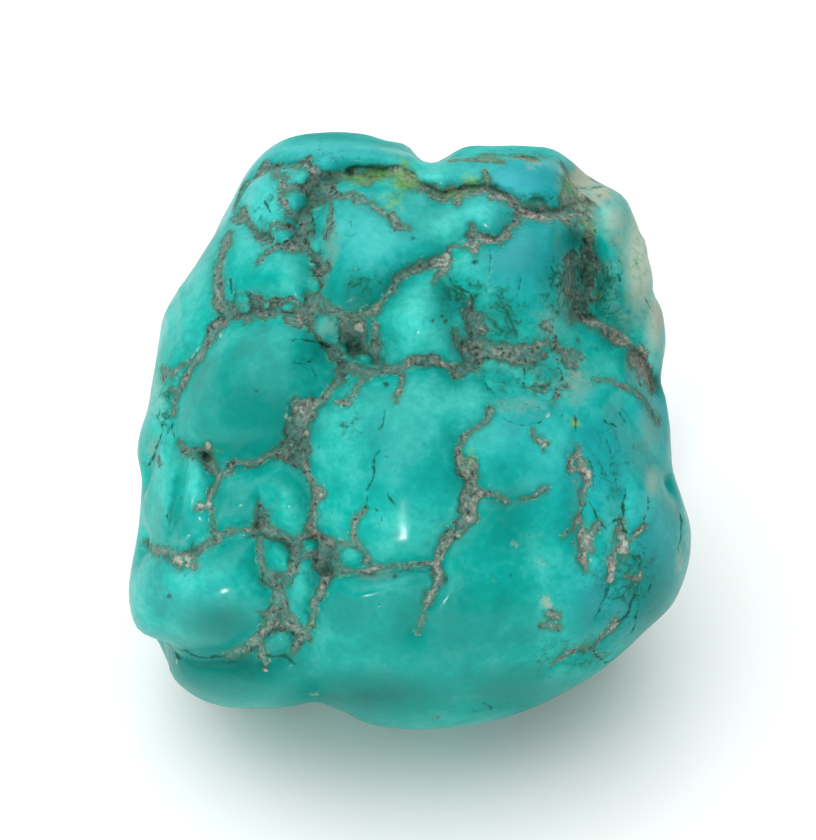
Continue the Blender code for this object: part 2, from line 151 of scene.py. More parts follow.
# valleys: floor half width, depth, width of the rounded shoulder, then the path
faceValleys = (
    (0.3, 2.2, 4.0, ((-24.0, 0.6), (-23.4, 3.4), (-22.0, 6.0), (-20.2, 9.0), (-18.4, 11.4), (-15.3, 12.1),
                     (-12.6, 12.2), (-9.8, 10.6), (-8.2, 8.6))),
    (1.0, 4.0, 5.0, ((-7.6, 8.0), (-5.6, 8.5), (-3.6, 7.6))),
    (0.4, 2.2, 4.2, ((-3.4, 7.2), (-1.2, 6.1), (2.4, 6.9), (4.8, 5.9), (6.6, 8.0))),
    (1.3, 2.8, 4.6, ((6.6, 8.0), (10.0, 6.4), (13.6, 6.4), (16.8, 7.6), (19.8, 9.6))),
    (0.5, 2.6, 3.6, ((19.8, 9.6), (21.6, 8.8), (23.0, 7.0))),
    (0.6, 1.6, 3.0, ((23.0, 7.0), (24.5, 4.5))),
    (0.5, 1.9, 3.4, ((-6.9, 5.6), (-8.6, 3.4), (-10.8, 1.4), (-11.5, -1.2), (-10.8, -3.4), (-9.8, -5.6),
                     (-9.6, -9.0), (-8.6, -11.4), (-8.4, -14.0), (-9.5, -17.4), (-10.6, -20.6))),
    (0.3, 1.8, 3.0, ((-23.2, -1.4), (-20.3, -2.5), (-17.5, -3.3), (-14.6, -2.8), (-12.2, -2.0))),
    (0.2, 1.4, 2.6, ((-20.2, -2.6), (-19.2, -4.8), (-20.0, -7.4), (-19.8, -10.2))),
    (0.6, 2.2, 3.2, ((-26.8, -11.6), (-24.2, -12.3), (-22.6, -13.1), (-20.4, -11.5), (-17.6, -10.2),
                     (-14.6, -9.7), (-11.8, -11.0), (-9.6, -10.4))),
    (0.6, 1.8, 3.0, ((-14.9, -11.6), (-14.8, -13.8), (-13.3, -16.2), (-13.2, -18.4), (-15.6, -20.8),
                     (-17.8, -22.5), (-21.2, -22.7), (-25.4, -21.9))),
    (0.2, 1.2, 3.0, ((-11.0, -21.0), (-12.6, -22.5), (-14.6, -23.4))),
    (0.2, 1.0, 3.4, ((-9.3, -27.0), (-9.9, -24.6), (-11.0, -21.8))),
    (0.4, 1.4, 2.0, ((-9.0, -14.2), (-6.0, -14.0), (-3.4, -13.9), (-0.8, -13.6), (2.6, -13.4))),
    (0.4, 0.9, 2.6, ((7.8, 1.0), (5.4, -0.6), (4.9, -2.6), (5.9, -5.0), (5.9, -8.0), (4.6, -10.2),
                     (2.9, -11.8), (2.7, -14.6), (1.6, -17.5), (0.6, -20.2))),
    (0.1, 0.7, 1.8, ((6.6, -6.4), (9.6, -7.0), (13.6, -6.0))),
    (0.2, 0.6, 1.8, ((16.6, -2.0), (17.6, -5.0), (17.0, -9.0), (17.5, -13.3))),
    (0.3, 0.6, 1.8, ((21.3, -6.0), (21.2, -10.8), (20.1, -14.4), (18.8, -18.4))),
    (0.2, 0.9, 2.4, ((22.9, -15.2), (21.8, -18.4), (19.4, -20.6), (16.6, -22.1), (13.6, -23.8))),
    (1.0, 1.6, 3.0, ((18.0, 22.6), (17.4, 19.0))),
    (1.1, 4.4, 3.2, ((17.4, 18.2), (17.7, 14.6), (17.5, 12.0))),
    (0.5, 2.4, 2.8, ((17.5, 12.0), (18.4, 10.6), (19.8, 9.8))),
    (0.3, 1.7, 2.8, ((-5.2, 10.2), (-3.0, 12.7), (-1.0, 15.2), (2.0, 16.7), (4.6, 18.3), (6.4, 19.4),
                     (8.8, 19.0), (11.0, 21.3), (15.0, 21.6), (18.0, 22.6))),
    (0.2, 1.2, 2.2, ((3.6, 17.4), (3.2, 15.6), (4.2, 13.4), (6.1, 12.4), (6.6, 8.0))),
    (0.8, 2.0, 2.8, ((-6.8, 5.6), (-8.6, 9.0), (-9.6, 12.4), (-9.1, 16.6), (-10.6, 20.2), (-9.4, 23.2),
                     (-8.0, 24.8), (-5.9, 25.7), (-3.4, 25.6))),
    (0.2, 1.0, 2.0, ((-17.0, 22.3), (-17.3, 21.0), (-14.6, 19.4), (-12.4, 18.3), (-9.6, 17.6))),
    (0.2, 0.8, 1.8, ((-17.2, 23.8), (-16.0, 25.8), (-13.2, 26.7), (-10.2, 26.6), (-8.0, 24.9))),
    (0.3, 1.3, 2.2, ((2.2, 27.2), (0.8, 25.6), (1.4, 24.3), (3.2, 23.2), (5.6, 24.0), (8.4, 23.7),
                     (11.4, 21.8))),
    (0.8, 1.4, 2.4, ((17.4, 25.8), (16.4, 24.0), (17.8, 22.6))),
    (0.4, 1.6, 2.6, ((21.2, 1.8), (23.0, -1.2), (24.6, -3.8), (26.2, -5.6))),
    (0.3, 1.4, 2.4, ((-26.4, -4.9), (-25.6, -2.2), (-24.8, 0.2), (-24.0, 1.4))),
    (0.1, 1.3, 1.8, ((-14.9, -6.4), (-14.9, -8.4), (-14.8, -10.0))),
    (0.1, 1.3, 1.5, ((-22.2, -2.4), (-22.8, -5.4), (-23.4, -7.6), (-23.7, -9.8), (-24.4, -11.6))),
    (0.1, 0.8, 2.2, ((19.2, 13.2), (21.4, 13.6), (24.6, 13.6))),
)
backValleys = (
    (0.4, 1.5, 4.4, ((-26.9, 0.4), (-21.0, 3.4), (-14.0, 5.6), (-8.0, 3.4), (-2.5, 6.4), (4.0, 7.6),
                     (11.0, 8.2), (18.0, 6.0), (24.6, 4.6))),
    (0.4, 1.2, 3.8, ((2.2, 27.0), (1.4, 20.0), (-2.6, 13.0), (-2.5, 6.4))),
    (0.4, 1.1, 3.8, ((-9.2, -26.8), (-9.6, -20.0), (-6.4, -11.0), (-8.4, -3.6), (-8.0, 3.4))),
    (0.4, 1.3, 3.8, ((26.6, -5.8), (19.0, -8.0), (11.6, -4.6), (11.0, 8.2))),
    (0.4, 1.0, 3.6, ((11.6, -4.6), (8.6, -13.0), (12.6, -20.0), (15.0, -26.1))),
    (0.4, 1.3, 3.6, ((-27.5, -12.0), (-20.0, -11.4), (-14.0, -9.4), (-8.4, -3.6))),
    (0.4, 1.0, 3.4, ((-19.6, 19.4), (-13.0, 17.8), (-7.0, 15.4), (-2.6, 13.0))),
    (0.4, 1.1, 3.4, ((17.9, 25.4), (12.6, 18.2), (9.6, 13.0), (11.0, 8.2))),
)


def outlineRadius(angle):
    points = np.array(outline)
    cornerAngle = np.arctan2(points[:, 1], points[:, 0])
    order = np.argsort(cornerAngle)
    turn = 2 * math.pi
    known = cornerAngle[order]
    known = np.concatenate([known[-2:] - turn, known, known[:2] + turn])
    radius = np.hypot(points[:, 0], points[:, 1])[order]
    radius = np.concatenate([radius[-2:], radius, radius[:2]])
    slope = np.gradient(radius, known)
    wrapped = (angle + math.pi) % turn - math.pi
    left = np.clip(np.searchsorted(known, wrapped) - 1, 0, len(known) - 2)
    span = known[left + 1] - known[left]
    part = (wrapped - known[left]) / span
    # a cubic through both ends with their slopes
    return (
        (2 * part**3 - 3 * part**2 + 1) * radius[left]
        + (part**3 - 2 * part**2 + part) * span * slope[left]
        + (3 * part**2 - 2 * part**3) * radius[left + 1]
        + (part**3 - part**2) * span * slope[left + 1]
    )


def rimRadius(angle, toward):
    shifts = np.linspace(-1, 1, 13) * body["outlineSmoothing"]
    weights = np.cos(np.linspace(-1, 1, 13) * math.pi / 2) + 0.02
    rounder = sum(weight * outlineRadius(angle + shift) for weight, shift in zip(weights, shifts))
    rounder /= weights.sum()
    nearness = np.exp(-((toward / body["rimReach"]) ** 2))
    return rounder + (outlineRadius(angle) - rounder) * nearness


def plainBody(directions):
    sideways = np.hypot(directions[:, 0], directions[:, 1])
    toward = directions[:, 2]
    square = np.where(toward > 0, body["frontSquareness"], body["backSquareness"])
    depth = np.where(toward > 0, body["frontDepth"], body["backDepth"])
    reach = (sideways**square + np.abs(toward) ** square) ** (-1 / square)
    height = reach * toward * depth
    radius = rimRadius(np.arctan2(directions[:, 1], directions[:, 0]), height)
    return np.column_stack([reach * directions[:, 0] * radius, reach * directions[:, 1] * radius, height])


def onBody(marks, side):
    # lays marks, seen as right and up, on the front (1) or the back (-1) of the plain body
    seen = np.array(marks, float)
    square = body["frontSquareness"] if side > 0 else body["backSquareness"]
    depth = body["frontDepth"] if side > 0 else body["backDepth"]
    height = np.zeros(len(seen))
    place = seen
    for _ in range(6):
        place = eyePoint + (seen - eyePoint) * (1 - np.maximum(height, 0) / stance["eyeDistance"])[:, None]
        radius = rimRadius(np.arctan2(place[:, 1], place[:, 0]), height)
        share = np.clip(np.hypot(place[:, 0], place[:, 1]) / radius, 0, 1)
        height = side * depth * (1 - share**square) ** (1 / square)
    return np.column_stack([place, height])


def asSeen(points):
    nearness = 1 - points[:, 2] / stance["eyeDistance"]
    return eyePoint + (points[:, :2] - eyePoint) / nearness[:, None]


def dense(marks, step):
    marks = np.array(marks, float)
    pieces = [marks[:1]]
    for start, end in zip(marks[:-1], marks[1:]):
        count = max(1, math.ceil(np.linalg.norm((end - start)[:2]) / step))
        pieces.append(start + (end - start) * (np.arange(1, count + 1) / count)[:, None])
    return np.concatenate(pieces)


def gapToPath(points, places, halfWidths, gap, width):
    # shortens gap, the distance to the nearest edge, where this path is nearer, and notes its half width
    reach = 6.0
    near = np.all((points > places.min(0) - reach) & (points < places.max(0) + reach), axis=1)
    if not near.any():
        return
    close, bestGap, bestWidth = points[near], gap[near], width[near]
    for start, end, startHalf, endHalf in zip(places[:-1], places[1:], halfWidths[:-1], halfWidths[1:]):
        along = end - start
        share = np.clip((close - start) @ along / max(along @ along, 1e-9), 0, 1)
        half = startHalf + share * (endHalf - startHalf)
        found = np.linalg.norm(close - start - share[:, None] * along, axis=1) - half
        nearer = found < bestGap
        bestGap[nearer] = found[nearer]
        bestWidth[nearer] = half[nearer]
    gap[near] = bestGap
    width[near] = bestWidth


def valleyDepth(points):
    total = np.zeros(len(points))
    power = body["junctionPower"]
    for side, valleys in ((1, faceValleys), (-1, backValleys)):
        for floor, depth, shoulder, marks in valleys:
            places = onBody(dense(marks, 1.5), side)
            gap = np.full(len(points), 99.0)
            gapToPath(points, places, np.full(len(places), floor), gap, np.zeros(len(points)))
            slope = 1 - np.clip(gap / shoulder, 0, 1)
            total += (depth * slope**2) ** power
    return total ** (1 / power)


def noduleHeight(points):
    total = np.zeros(len(points))
    for side, nodules in ((1, faceNodules), (-1, backNodules)):
        facing = np.clip(side * points[:, 2] / 6, 0, 1)
        for right, up, halfWidth, halfHeight, bulge in nodules:
            middle = onBody([(right, up)], side)[0]
            across = (points[:, 0] - middle[0]) / halfWidth
            along = (points[:, 1] - middle[1]) / halfHeight
            total += facing * bulge * np.exp(-(across**2 + along**2))
    for height, halfWidth, marks in faceRidges:
        places = onBody(dense(marks, 1.5), 1)
        gap = np.full(len(points), 99.0)
        gapToPath(points, places, np.zeros(len(places)), gap, np.zeros(len(points)))
        total += height * np.exp(-((gap / halfWidth) ** 2))
    return total


def swell(points, wavelength, seed=0.0):
    shift = Vector((seed, seed, seed))
    return np.array([noise.noise(Vector(point) / wavelength + shift) for point in points])


def swirl(points, wavelength, seed=0.0):
    shift = Vector((seed, seed, seed))
    return np.array([noise.noise_vector(Vector(point) / wavelength + shift)[:] for point in points])


def outward(points, directions):
    # relief follows the normal at the rim and behind it, and the line to the eye on the face
    toward = directions[:, 2]
    square = np.where(toward > 0, body["frontSquareness"], body["backSquareness"])
    depth = np.where(toward > 0, body["frontDepth"], body["backDepth"])
    wide = rimRadius(np.arctan2(points[:, 1], points[:, 0]), points[:, 2])
    normal = np.column_stack([
        np.sign(points[:, 0]) * np.abs(points[:, 0] / wide) ** (square - 1) / wide,
        np.sign(points[:, 1]) * np.abs(points[:, 1] / wide) ** (square - 1) / wide,
        np.sign(points[:, 2]) * np.abs(points[:, 2] / depth) ** (square - 1) / depth,
    ])
    normal /= np.linalg.norm(normal, axis=1)[:, None]
    facing = np.clip((normal[:, 2] - 0.2) / 0.4, 0, 1)[:, None]
    toEye = eyePlace - points
    toEye /= np.linalg.norm(toEye, axis=1)[:, None]
    return normal * (1 - facing) + toEye * facing


# ---- matrix veins on the face, each point as right, up, half width of the brown rock
matrixVeins = (
    # round the crown lobe and the two lobes under it, top left
    ((-13.0, 26.6, 0.2), (-14.3, 26.6, 0.28), (-15.0, 26.3, 0.3), (-16.2, 25.4, 0.2), (-16.8, 24.9, 0.14),
     (-17.4, 23.8, 0.12), (-17.6, 23.0, 0.15), (-17.6, 22.2, 0.2), (-17.5, 21.2, 0.35), (-16.3, 20.9, 0.3),
     (-15.9, 20.2, 0.4), (-15.2, 19.5, 0.42), (-14.4, 19.2, 0.45)),
    ((-17.0, 21.6, 0.4), (-16.8, 22.4, 0.15)),
    ((-14.0, 26.7, 0.2), (-11.0, 26.6, 0.25), (-10.0, 27.0, 0.22)),
    ((-13.3, 26.2, 0.3), (-13.2, 25.4, 0.35), (-12.4, 25.2, 0.3)),
    ((-10.9, 26.6, 0.3), (-10.2, 26.5, 0.35), (-9.6, 26.0, 0.35), (-9.2, 25.3, 0.5), (-8.4, 25.0, 0.6),
     (-7.5, 25.2, 0.6), (-6.5, 25.5, 0.55), (-5.9, 25.7, 0.6)),
    ((-12.9, 25.3, 0.25), (-12.6, 24.4, 0.3), (-11.8, 24.05, 0.32), (-11.0, 24.05, 0.35),
     (-10.3, 24.2, 0.4),
     (-9.7, 24.6, 0.55), (-9.2, 25.2, 0.6)),
    ((-10.1, 26.4, 0.4), (-9.7, 25.4, 0.4), (-9.8, 24.6, 0.4)),
    ((-10.2, 24.0, 0.35), (-10.0, 23.0, 0.35), (-10.2, 22.0, 0.5)),
    ((-12.7, 24.3, 0.2), (-12.9, 23.6, 0.2), (-12.8, 22.9, 0.25), (-12.3, 22.3, 0.25), (-11.8, 21.6, 0.3),
     (-11.0, 21.0, 0.5)),
    ((-8.5, 24.4, 0.8), (-9.0, 23.5, 0.9), (-9.6, 23.0, 0.9), (-10.2, 22.0, 0.6), (-10.4, 21.0, 0.5),
     (-10.6, 20.2, 0.7), (-11.0, 19.5, 0.85), (-10.6, 18.6, 0.7), (-9.6, 17.8, 0.7), (-9.0, 16.5, 0.75),
     (-9.1, 15.8, 0.7), (-9.3, 14.6, 0.5), (-9.5, 13.2, 0.6), (-9.8, 12.3, 0.7), (-10.3, 11.3, 0.65),
     (-9.6, 10.2, 0.45), (-9.0, 9.5, 0.4), (-8.4, 8.8, 0.5), (-7.8, 7.9, 0.5), (-7.2, 7.0, 0.45),
     (-6.9, 6.2, 0.4), (-6.8, 5.5, 0.3)),
    ((-14.0, 20.4, 0.25), (-13.0, 20.3, 0.3), (-12.2, 20.3, 0.35), (-11.2, 19.8, 0.6)),
    ((-15.2, 16.6, 0.2), (-14.8, 17.2, 0.25), (-14.2, 17.8, 0.28), (-13.0, 18.5, 0.3), (-12.4, 18.2, 0.3),
     (-11.5, 18.3, 0.4), (-10.6, 18.6, 0.6)),
    ((-8.0, 23.2, 0.15), (-7.8, 22.0, 0.12), (-8.0, 20.6, 0.18), (-8.4, 19.4, 0.2)),
    # top middle
    ((-7.8, 23.6, 0.3), (-6.5, 23.5, 0.25), (-5.7, 23.4, 0.25), (-5.4, 23.0, 0.25), (-4.6, 22.9, 0.25),
     (-4.0, 22.6, 0.25), (-3.2, 22.0, 0.22), (-2.6, 21.6, 0.2)),
    ((-2.0, 21.5, 0.25), (-1.8, 21.0, 0.25), (-1.4, 20.5, 0.3), (-0.8, 20.3, 0.3), (0.0, 20.0, 0.2)),
    ((-5.9, 25.7, 0.5), (-4.6, 25.2, 0.5), (-3.0, 25.6, 0.5), (-1.2, 26.0, 0.45), (-0.3, 25.2, 0.55),
     (0.4, 24.6, 0.5), (1.0, 24.3, 0.4), (2.0, 24.0, 0.45), (2.6, 23.5, 0.45), (3.2, 23.2, 0.5),
     (4.3, 23.9, 0.45), (4.8, 23.2, 0.6), (5.5, 24.0, 0.45), (6.0, 24.3, 0.45), (7.0, 24.2, 0.5),
     (7.7, 24.3, 0.5), (8.5, 23.6, 0.5), (9.5, 23.2, 0.5), (10.5, 22.8, 0.5), (11.0, 22.2, 0.5),
     (11.6, 21.7, 0.55), (12.8, 21.4, 0.5), (13.8, 21.0, 0.45), (15.0, 21.6, 0.4), (16.0, 21.4, 0.6),
     (17.4, 21.8, 0.8)),
    ((7.7, 24.3, 0.4), (7.6, 25.2, 0.3), (7.5, 25.8, 0.2)),
    ((4.0, 27.3, 0.14), (5.3, 27.4, 0.16), (6.6, 27.35, 0.2), (7.3, 27.5, 0.35), (8.3, 27.1, 0.2),
     (9.3, 26.75, 0.1)),
    ((7.2, 27.8, 0.2), (8.3, 28.2, 0.12)),
    ((6.3, 20.5, 0.25), (6.4, 19.7, 0.35), (6.9, 19.2, 0.5), (7.8, 19.1, 0.5), (8.8, 19.0, 0.45),
     (9.5, 19.5, 0.4), (9.9, 20.1, 0.35), (10.4, 20.6, 0.35), (11.0, 21.2, 0.4), (11.6, 21.7, 0.5)),
    ((6.2, 19.2, 0.6), (6.4, 18.6, 0.6), (6.5, 17.9, 0.35)),
    ((-5.2, 10.6, 0.5), (-4.5, 11.6, 0.45), (-3.5, 11.8, 0.4), (-3.0, 12.7, 0.3), (-2.2, 13.6, 0.3),
     (-1.7, 14.3, 0.35), (-1.0, 15.2, 0.4), (0.0, 15.9, 0.45), (1.0, 16.3, 0.5), (2.0, 16.6, 0.5),
     (3.0, 17.0, 0.45), (3.7, 17.3, 0.4), (4.0, 18.2, 0.2), (4.5, 18.4, 0.15), (5.3, 18.4, 0.15),
     (5.9, 18.6, 0.3)),
    ((3.5, 16.5, 0.5), (3.4, 16.0, 0.4), (2.8, 15.5, 0.25), (2.5, 14.8, 0.2)),
    # top right and the deep groove
    ((18.0, 20.4, 0.2), (17.9, 19.2, 0.5), (17.8, 18.0, 0.7),
     (17.8, 16.4, 0.8), (17.9, 14.6, 0.9), (17.6, 13.0, 0.9), (17.2, 11.8, 0.9), (16.8, 11.0, 0.8)),
    ((15.4, 22.0, 0.4), (16.3, 22.6, 0.5)),
    ((15.6, 27.1, 0.2), (16.2, 26.4, 0.3), (16.0, 25.2, 0.35), (15.6, 24.0, 0.3), (15.4, 22.8, 0.4)),
    # left, between the edge lobes and the big nodule
    ((-19.3, 12.5, 0.5), (-18.3, 11.8, 0.8), (-19.0, 10.8, 0.7), (-19.8, 9.9, 0.45), (-20.3, 8.6, 0.38),
     (-20.9, 7.6, 0.32), (-21.6, 6.6, 0.3), (-22.2, 5.7, 0.28), (-22.8, 4.7, 0.25), (-23.3, 3.6, 0.22),
     (-23.5, 2.5, 0.2), (-23.7, 1.5, 0.15)),
    ((-21.5, 6.6, 0.2), (-22.3, 6.6, 0.2), (-22.9, 6.4, 0.2), (-23.7, 5.3, 0.18), (-24.0, 6.0, 0.12)),
    ((-24.5, 6.1, 0.15), (-24.6, 4.9, 0.1)),
    ((-23.9, 4.1, 0.15), (-23.3, 3.8, 0.15)),
    ((-18.4, 12.0, 1.1), (-17.2, 11.9, 0.9), (-16.0, 11.9, 0.7), (-14.8, 12.1, 0.85), (-13.6, 12.2, 0.95),
     (-12.4, 12.0, 1.0), (-11.2, 11.5, 0.9), (-10.2, 11.3, 0.9)),
    ((-15.6, 12.2, 0.4), (-15.4, 13.3, 0.25)),
    ((-18.4, 12.0, 1.0), (-18.9, 13.2, 0.8), (-19.1, 14.6, 0.5)),
    ((-18.0, 19.6, 0.2), (-18.4, 18.8, 0.3), (-18.9, 17.8, 0.3), (-19.1, 16.6, 0.25), (-19.3, 15.2, 0.25),
     (-19.2, 13.8, 0.5), (-18.8, 12.6, 0.7)),
    ((-17.6, 13.6, 0.12), (-17.5, 12.6, 0.4)),
    # the waist and the deep pit
    ((-9.4, 12.9, 0.4), (-8.4, 12.7, 0.35), (-7.6, 11.8, 0.35), (-6.8, 11.3, 0.35), (-5.8, 11.2, 0.4),
     (-4.8, 11.4, 0.4)),
    ((-6.8, 11.3, 0.3), (-6.4, 10.2, 0.5), (-6.0, 9.2, 0.8)),
    ((-6.0, 8.5, 0.9), (-5.3, 9.0, 0.9), (-5.2, 8.0, 0.9), (-6.5, 7.7, 0.8)),
    ((-6.0, 11.3, 0.3), (-5.2, 10.4, 0.6), (-4.8, 9.4, 0.7)),
    ((-3.6, 10.5, 0.35), (-3.4, 9.0, 0.4), (-3.3, 8.0, 0.45), (-3.0, 7.0, 0.5)),
    ((-4.6, 8.0, 0.6), (-3.6, 7.2, 0.5), (-3.0, 6.5, 0.4), (-2.2, 6.2, 0.38), (-1.4, 6.0, 0.38),
     (-0.5, 6.3, 0.4), (0.5, 6.8, 0.45), (1.5, 7.0, 0.45), (2.5, 6.9, 0.45), (3.5, 6.4, 0.4),
     (4.5, 5.8, 0.38), (5.0, 6.0, 0.5), (6.0, 6.6, 0.65), (7.0, 7.4, 0.7), (7.5, 8.0, 0.6)),
    ((-6.5, 6.6, 0.5), (-5.6, 6.2, 0.5), (-4.6, 5.7, 0.35), (-3.2, 5.7, 0.25), (-2.4, 6.0, 0.3)),
    ((-0.8, 5.6, 0.2), (-0.8, 4.6, 0.22), (-1.2, 3.6, 0.22), (-1.3, 2.6, 0.12)),
    ((-7.3, 2.9, 0.2), (-6.5, 2.7, 0.2), (-5.9, 2.8, 0.12)),
    ((-6.5, 3.2, 0.2), (-5.8, 3.4, 0.2), (-5.2, 4.6, 0.2), (-4.5, 5.1, 0.2), (-4.0, 5.4, 0.2)),
    ((5.9, 12.5, 0.35), (6.0, 11.5, 0.6), (6.4, 10.6, 0.8), (6.6, 9.8, 0.9), (6.5, 8.8, 1.0),
     (7.5, 8.2, 0.9),
     (9.0, 7.9, 0.8), (10.0, 7.7, 0.7), (11.0, 7.4, 0.8), (12.0, 7.6, 0.9), (13.0, 8.6, 0.6),
     (14.0, 8.8, 0.5), (15.0, 8.3, 0.5), (15.6, 7.4, 0.3), (15.5, 7.0, 0.2)),
    ((4.6, 10.0, 0.2), (4.7, 9.2, 0.25), (5.0, 8.3, 0.3), (5.6, 7.6, 0.4)),
    ((16.8, 11.0, 0.8), (17.6, 10.9, 0.6), (18.5, 10.7, 0.5), (19.5, 9.9, 0.55), (20.6, 9.6, 0.6),
     (21.3, 9.0, 0.6), (22.0, 8.3, 0.6), (22.5, 7.5, 0.75), (23.1, 6.6, 0.75), (23.7, 5.7, 0.7),
     (24.1, 4.8, 0.55), (24.3, 4.0, 0.4)),
    ((15.8, 4.3, 0.15), (15.0, 4.0, 0.2), (14.7, 3.2, 0.2), (14.3, 2.5, 0.15)),
    ((18.4, 5.0, 0.1), (20.0, 4.9, 0.14), (21.5, 4.4, 0.15), (22.5, 3.8, 0.15), (23.5, 2.8, 0.15),
     (24.7, 0.8, 0.1)),
    # the long stem from the pit down the left of the middle
    ((-6.9, 5.2, 0.3), (-7.4, 4.5, 0.3), (-8.0, 3.9, 0.3), (-8.5, 3.4, 0.35), (-9.0, 2.9, 0.4),
     (-10.0, 2.5, 0.6), (-10.6, 1.9, 1.0), (-11.1, 0.9, 1.1), (-11.1, 0.0, 1.0), (-11.5, -1.0, 1.2),
     (-11.7, -2.0, 1.3), (-11.2, -2.8, 0.9), (-10.6, -3.5, 0.55), (-10.1, -4.5, 0.36), (-9.7, -5.5, 0.36),
     (-9.5, -6.4, 0.45), (-9.65, -7.4, 0.28), (-9.6, -8.4, 0.3), (-9.6, -9.3, 0.4), (-9.9, -10.1, 0.75),
     (-9.1, -10.8, 0.5), (-8.2, -11.4, 0.65), (-8.1, -12.4, 0.75), (-8.5, -13.4, 0.85), (-8.5, -14.6, 0.7),
     (-8.9, -15.8, 0.5), (-9.4, -17.0, 0.5), (-9.6, -18.0, 0.35), (-9.7, -19.0, 0.35), (-10.2, -20.0, 0.45),
     (-11.0, -20.6, 0.5), (-11.3, -21.5, 0.35), (-11.8, -22.4, 0.2)),
    ((-9.3, -5.9, 0.45), (-8.9, -6.4, 0.4)),
    # under the big nodule, round the heart and the bottom left nodule
    ((-23.0, -1.3, 0.22), (-22.4, -1.8, 0.3), (-21.8, -2.2, 0.3), (-21.0, -2.6, 0.4), (-20.3, -2.6, 0.6),
     (-19.8, -3.2, 0.4), (-19.5, -4.0, 0.4), (-19.1, -4.8, 0.35), (-19.4, -5.6, 0.28), (-19.8, -6.4, 0.2),
     (-20.05, -7.2, 0.18), (-20.2, -7.6, 0.25), (-20.9, -7.5, 0.3), (-21.2, -7.9, 0.2)),
    ((-20.3, -2.5, 0.5), (-20.2, -1.6, 0.35)),
    ((-19.2, -4.7, 0.3), (-18.3, -4.4, 0.22), (-17.8, -3.7, 0.25), (-17.4, -3.3, 0.28), (-16.8, -3.2, 0.22),
     (-16.0, -3.4, 0.26), (-15.1, -3.1, 0.26), (-14.5, -2.7, 0.3), (-13.8, -2.4, 0.4), (-12.8, -2.1, 0.7)),
    ((-19.9, -7.8, 0.12), (-19.7, -8.8, 0.15), (-19.6, -9.8, 0.25), (-19.4, -10.5, 0.4),
     (-18.6, -10.4, 0.28),
     (-17.6, -10.1, 0.22), (-16.6, -10.0, 0.3), (-15.6, -9.9, 0.7), (-14.8, -9.5, 1.0), (-14.9, -8.4, 0.5),
     (-14.95, -7.2, 0.05)),
    ((-14.8, -9.9, 0.7), (-13.8, -10.3, 0.45), (-13.0, -10.7, 0.4), (-12.2, -11.1, 0.4),
     (-11.4, -11.4, 0.4),
     (-10.9, -10.9, 0.4), (-10.2, -10.5, 0.6)),
    ((-27.0, -11.4, 0.15), (-26.4, -11.7, 0.25), (-25.4, -12.0, 0.3), (-24.5, -12.1, 0.4),
     (-23.8, -12.8, 0.45), (-22.8, -13.1, 0.6), (-22.0, -12.6, 0.5), (-21.2, -12.0, 0.4),
     (-20.4, -11.6, 0.32), (-19.8, -11.1, 0.3), (-19.1, -10.8, 0.32)),
    ((-22.4, -13.6, 0.35), (-21.7, -13.6, 0.35)),
    ((-14.9, -10.8, 0.25), (-14.95, -12.0, 0.2), (-14.9, -13.2, 0.22), (-14.6, -14.2, 0.4),
     (-14.0, -15.0, 0.7), (-13.4, -15.8, 0.55), (-13.1, -16.6, 0.35), (-13.0, -17.4, 0.5),
     (-12.8, -18.3, 1.2), (-13.2, -19.2, 1.5), (-14.4, -19.8, 0.6), (-15.2, -20.6, 0.5),
     (-15.9, -21.3, 0.5), (-16.8, -21.9, 0.5), (-17.7, -22.5, 0.35), (-18.4, -22.7, 0.1)),
    ((-12.8, -18.3, 1.1), (-11.9, -19.2, 0.8), (-11.4, -20.2, 0.55)),
    ((-11.5, -11.6, 0.35), (-11.6, -12.6, 0.35), (-11.9, -13.8, 0.35), (-12.5, -14.6, 0.5),
     (-13.6, -14.6, 0.55)),
    ((-12.5, -14.6, 0.4), (-12.7, -15.6, 0.3), (-12.9, -16.6, 0.3)),
    ((-14.7, -20.4, 0.3), (-15.0, -21.5, 0.35), (-14.8, -22.5, 0.35), (-14.5, -23.3, 0.3),
     (-14.7, -23.9, 0.08)),
    ((-11.4, -11.4, 0.5), (-11.3, -12.6, 0.6), (-11.6, -13.8, 0.6), (-12.2, -14.8, 0.5)),
    ((-9.2, -10.8, 0.6), (-9.1, -12.2, 0.8), (-9.0, -13.4, 0.7)),
    ((-10.9, -12.5, 0.4), (-9.3, -12.5, 0.4)),
    # under the middle nodule
    ((-7.8, -14.0, 0.4), (-6.5, -14.0, 0.2), (-5.5, -14.1, 0.05), (-4.6, -14.1, 0.12), (-3.8, -13.8, 0.35),
     (-3.0, -13.7, 0.2), (-2.2, -13.6, 0.03), (-1.4, -13.7, 0.12), (-0.4, -13.6, 0.03), (0.6, -13.4, 0.08),
     (1.6, -13.5, 0.25), (2.5, -13.4, 0.5)),
    ((-7.4, -11.6, 0.15), (-6.3, -11.4, 0.15), (-5.4, -11.3, 0.3), (-4.7, -12.1, 0.2), (-4.3, -12.9, 0.3)),
    ((-7.5, -12.3, 0.4), (-7.3, -13.4, 0.3)),
    ((-4.5, -7.9, 0.12), (-5.1, -8.5, 0.25), (-5.4, -9.1, 0.35), (-5.6, -9.9, 0.22), (-5.6, -10.6, 0.22),
     (-5.4, -11.3, 0.3)),
    # the main vein right of the middle, and its branches
    ((8.0, 1.9, 0.35), (7.9, 1.2, 0.2), (7.6, 0.8, 0.2), (6.9, 0.4, 0.2), (6.3, 0.1, 0.2),
     (5.7, -0.4, 0.22),
     (5.2, -1.0, 0.26), (4.9, -1.8, 0.32), (4.95, -2.6, 0.45), (5.4, -3.3, 0.9), (5.6, -4.0, 1.0),
     (5.9, -4.8, 0.9), (6.0, -5.8, 0.85), (6.2, -6.6, 1.05), (6.1, -7.6, 0.95), (5.8, -8.6, 0.75),
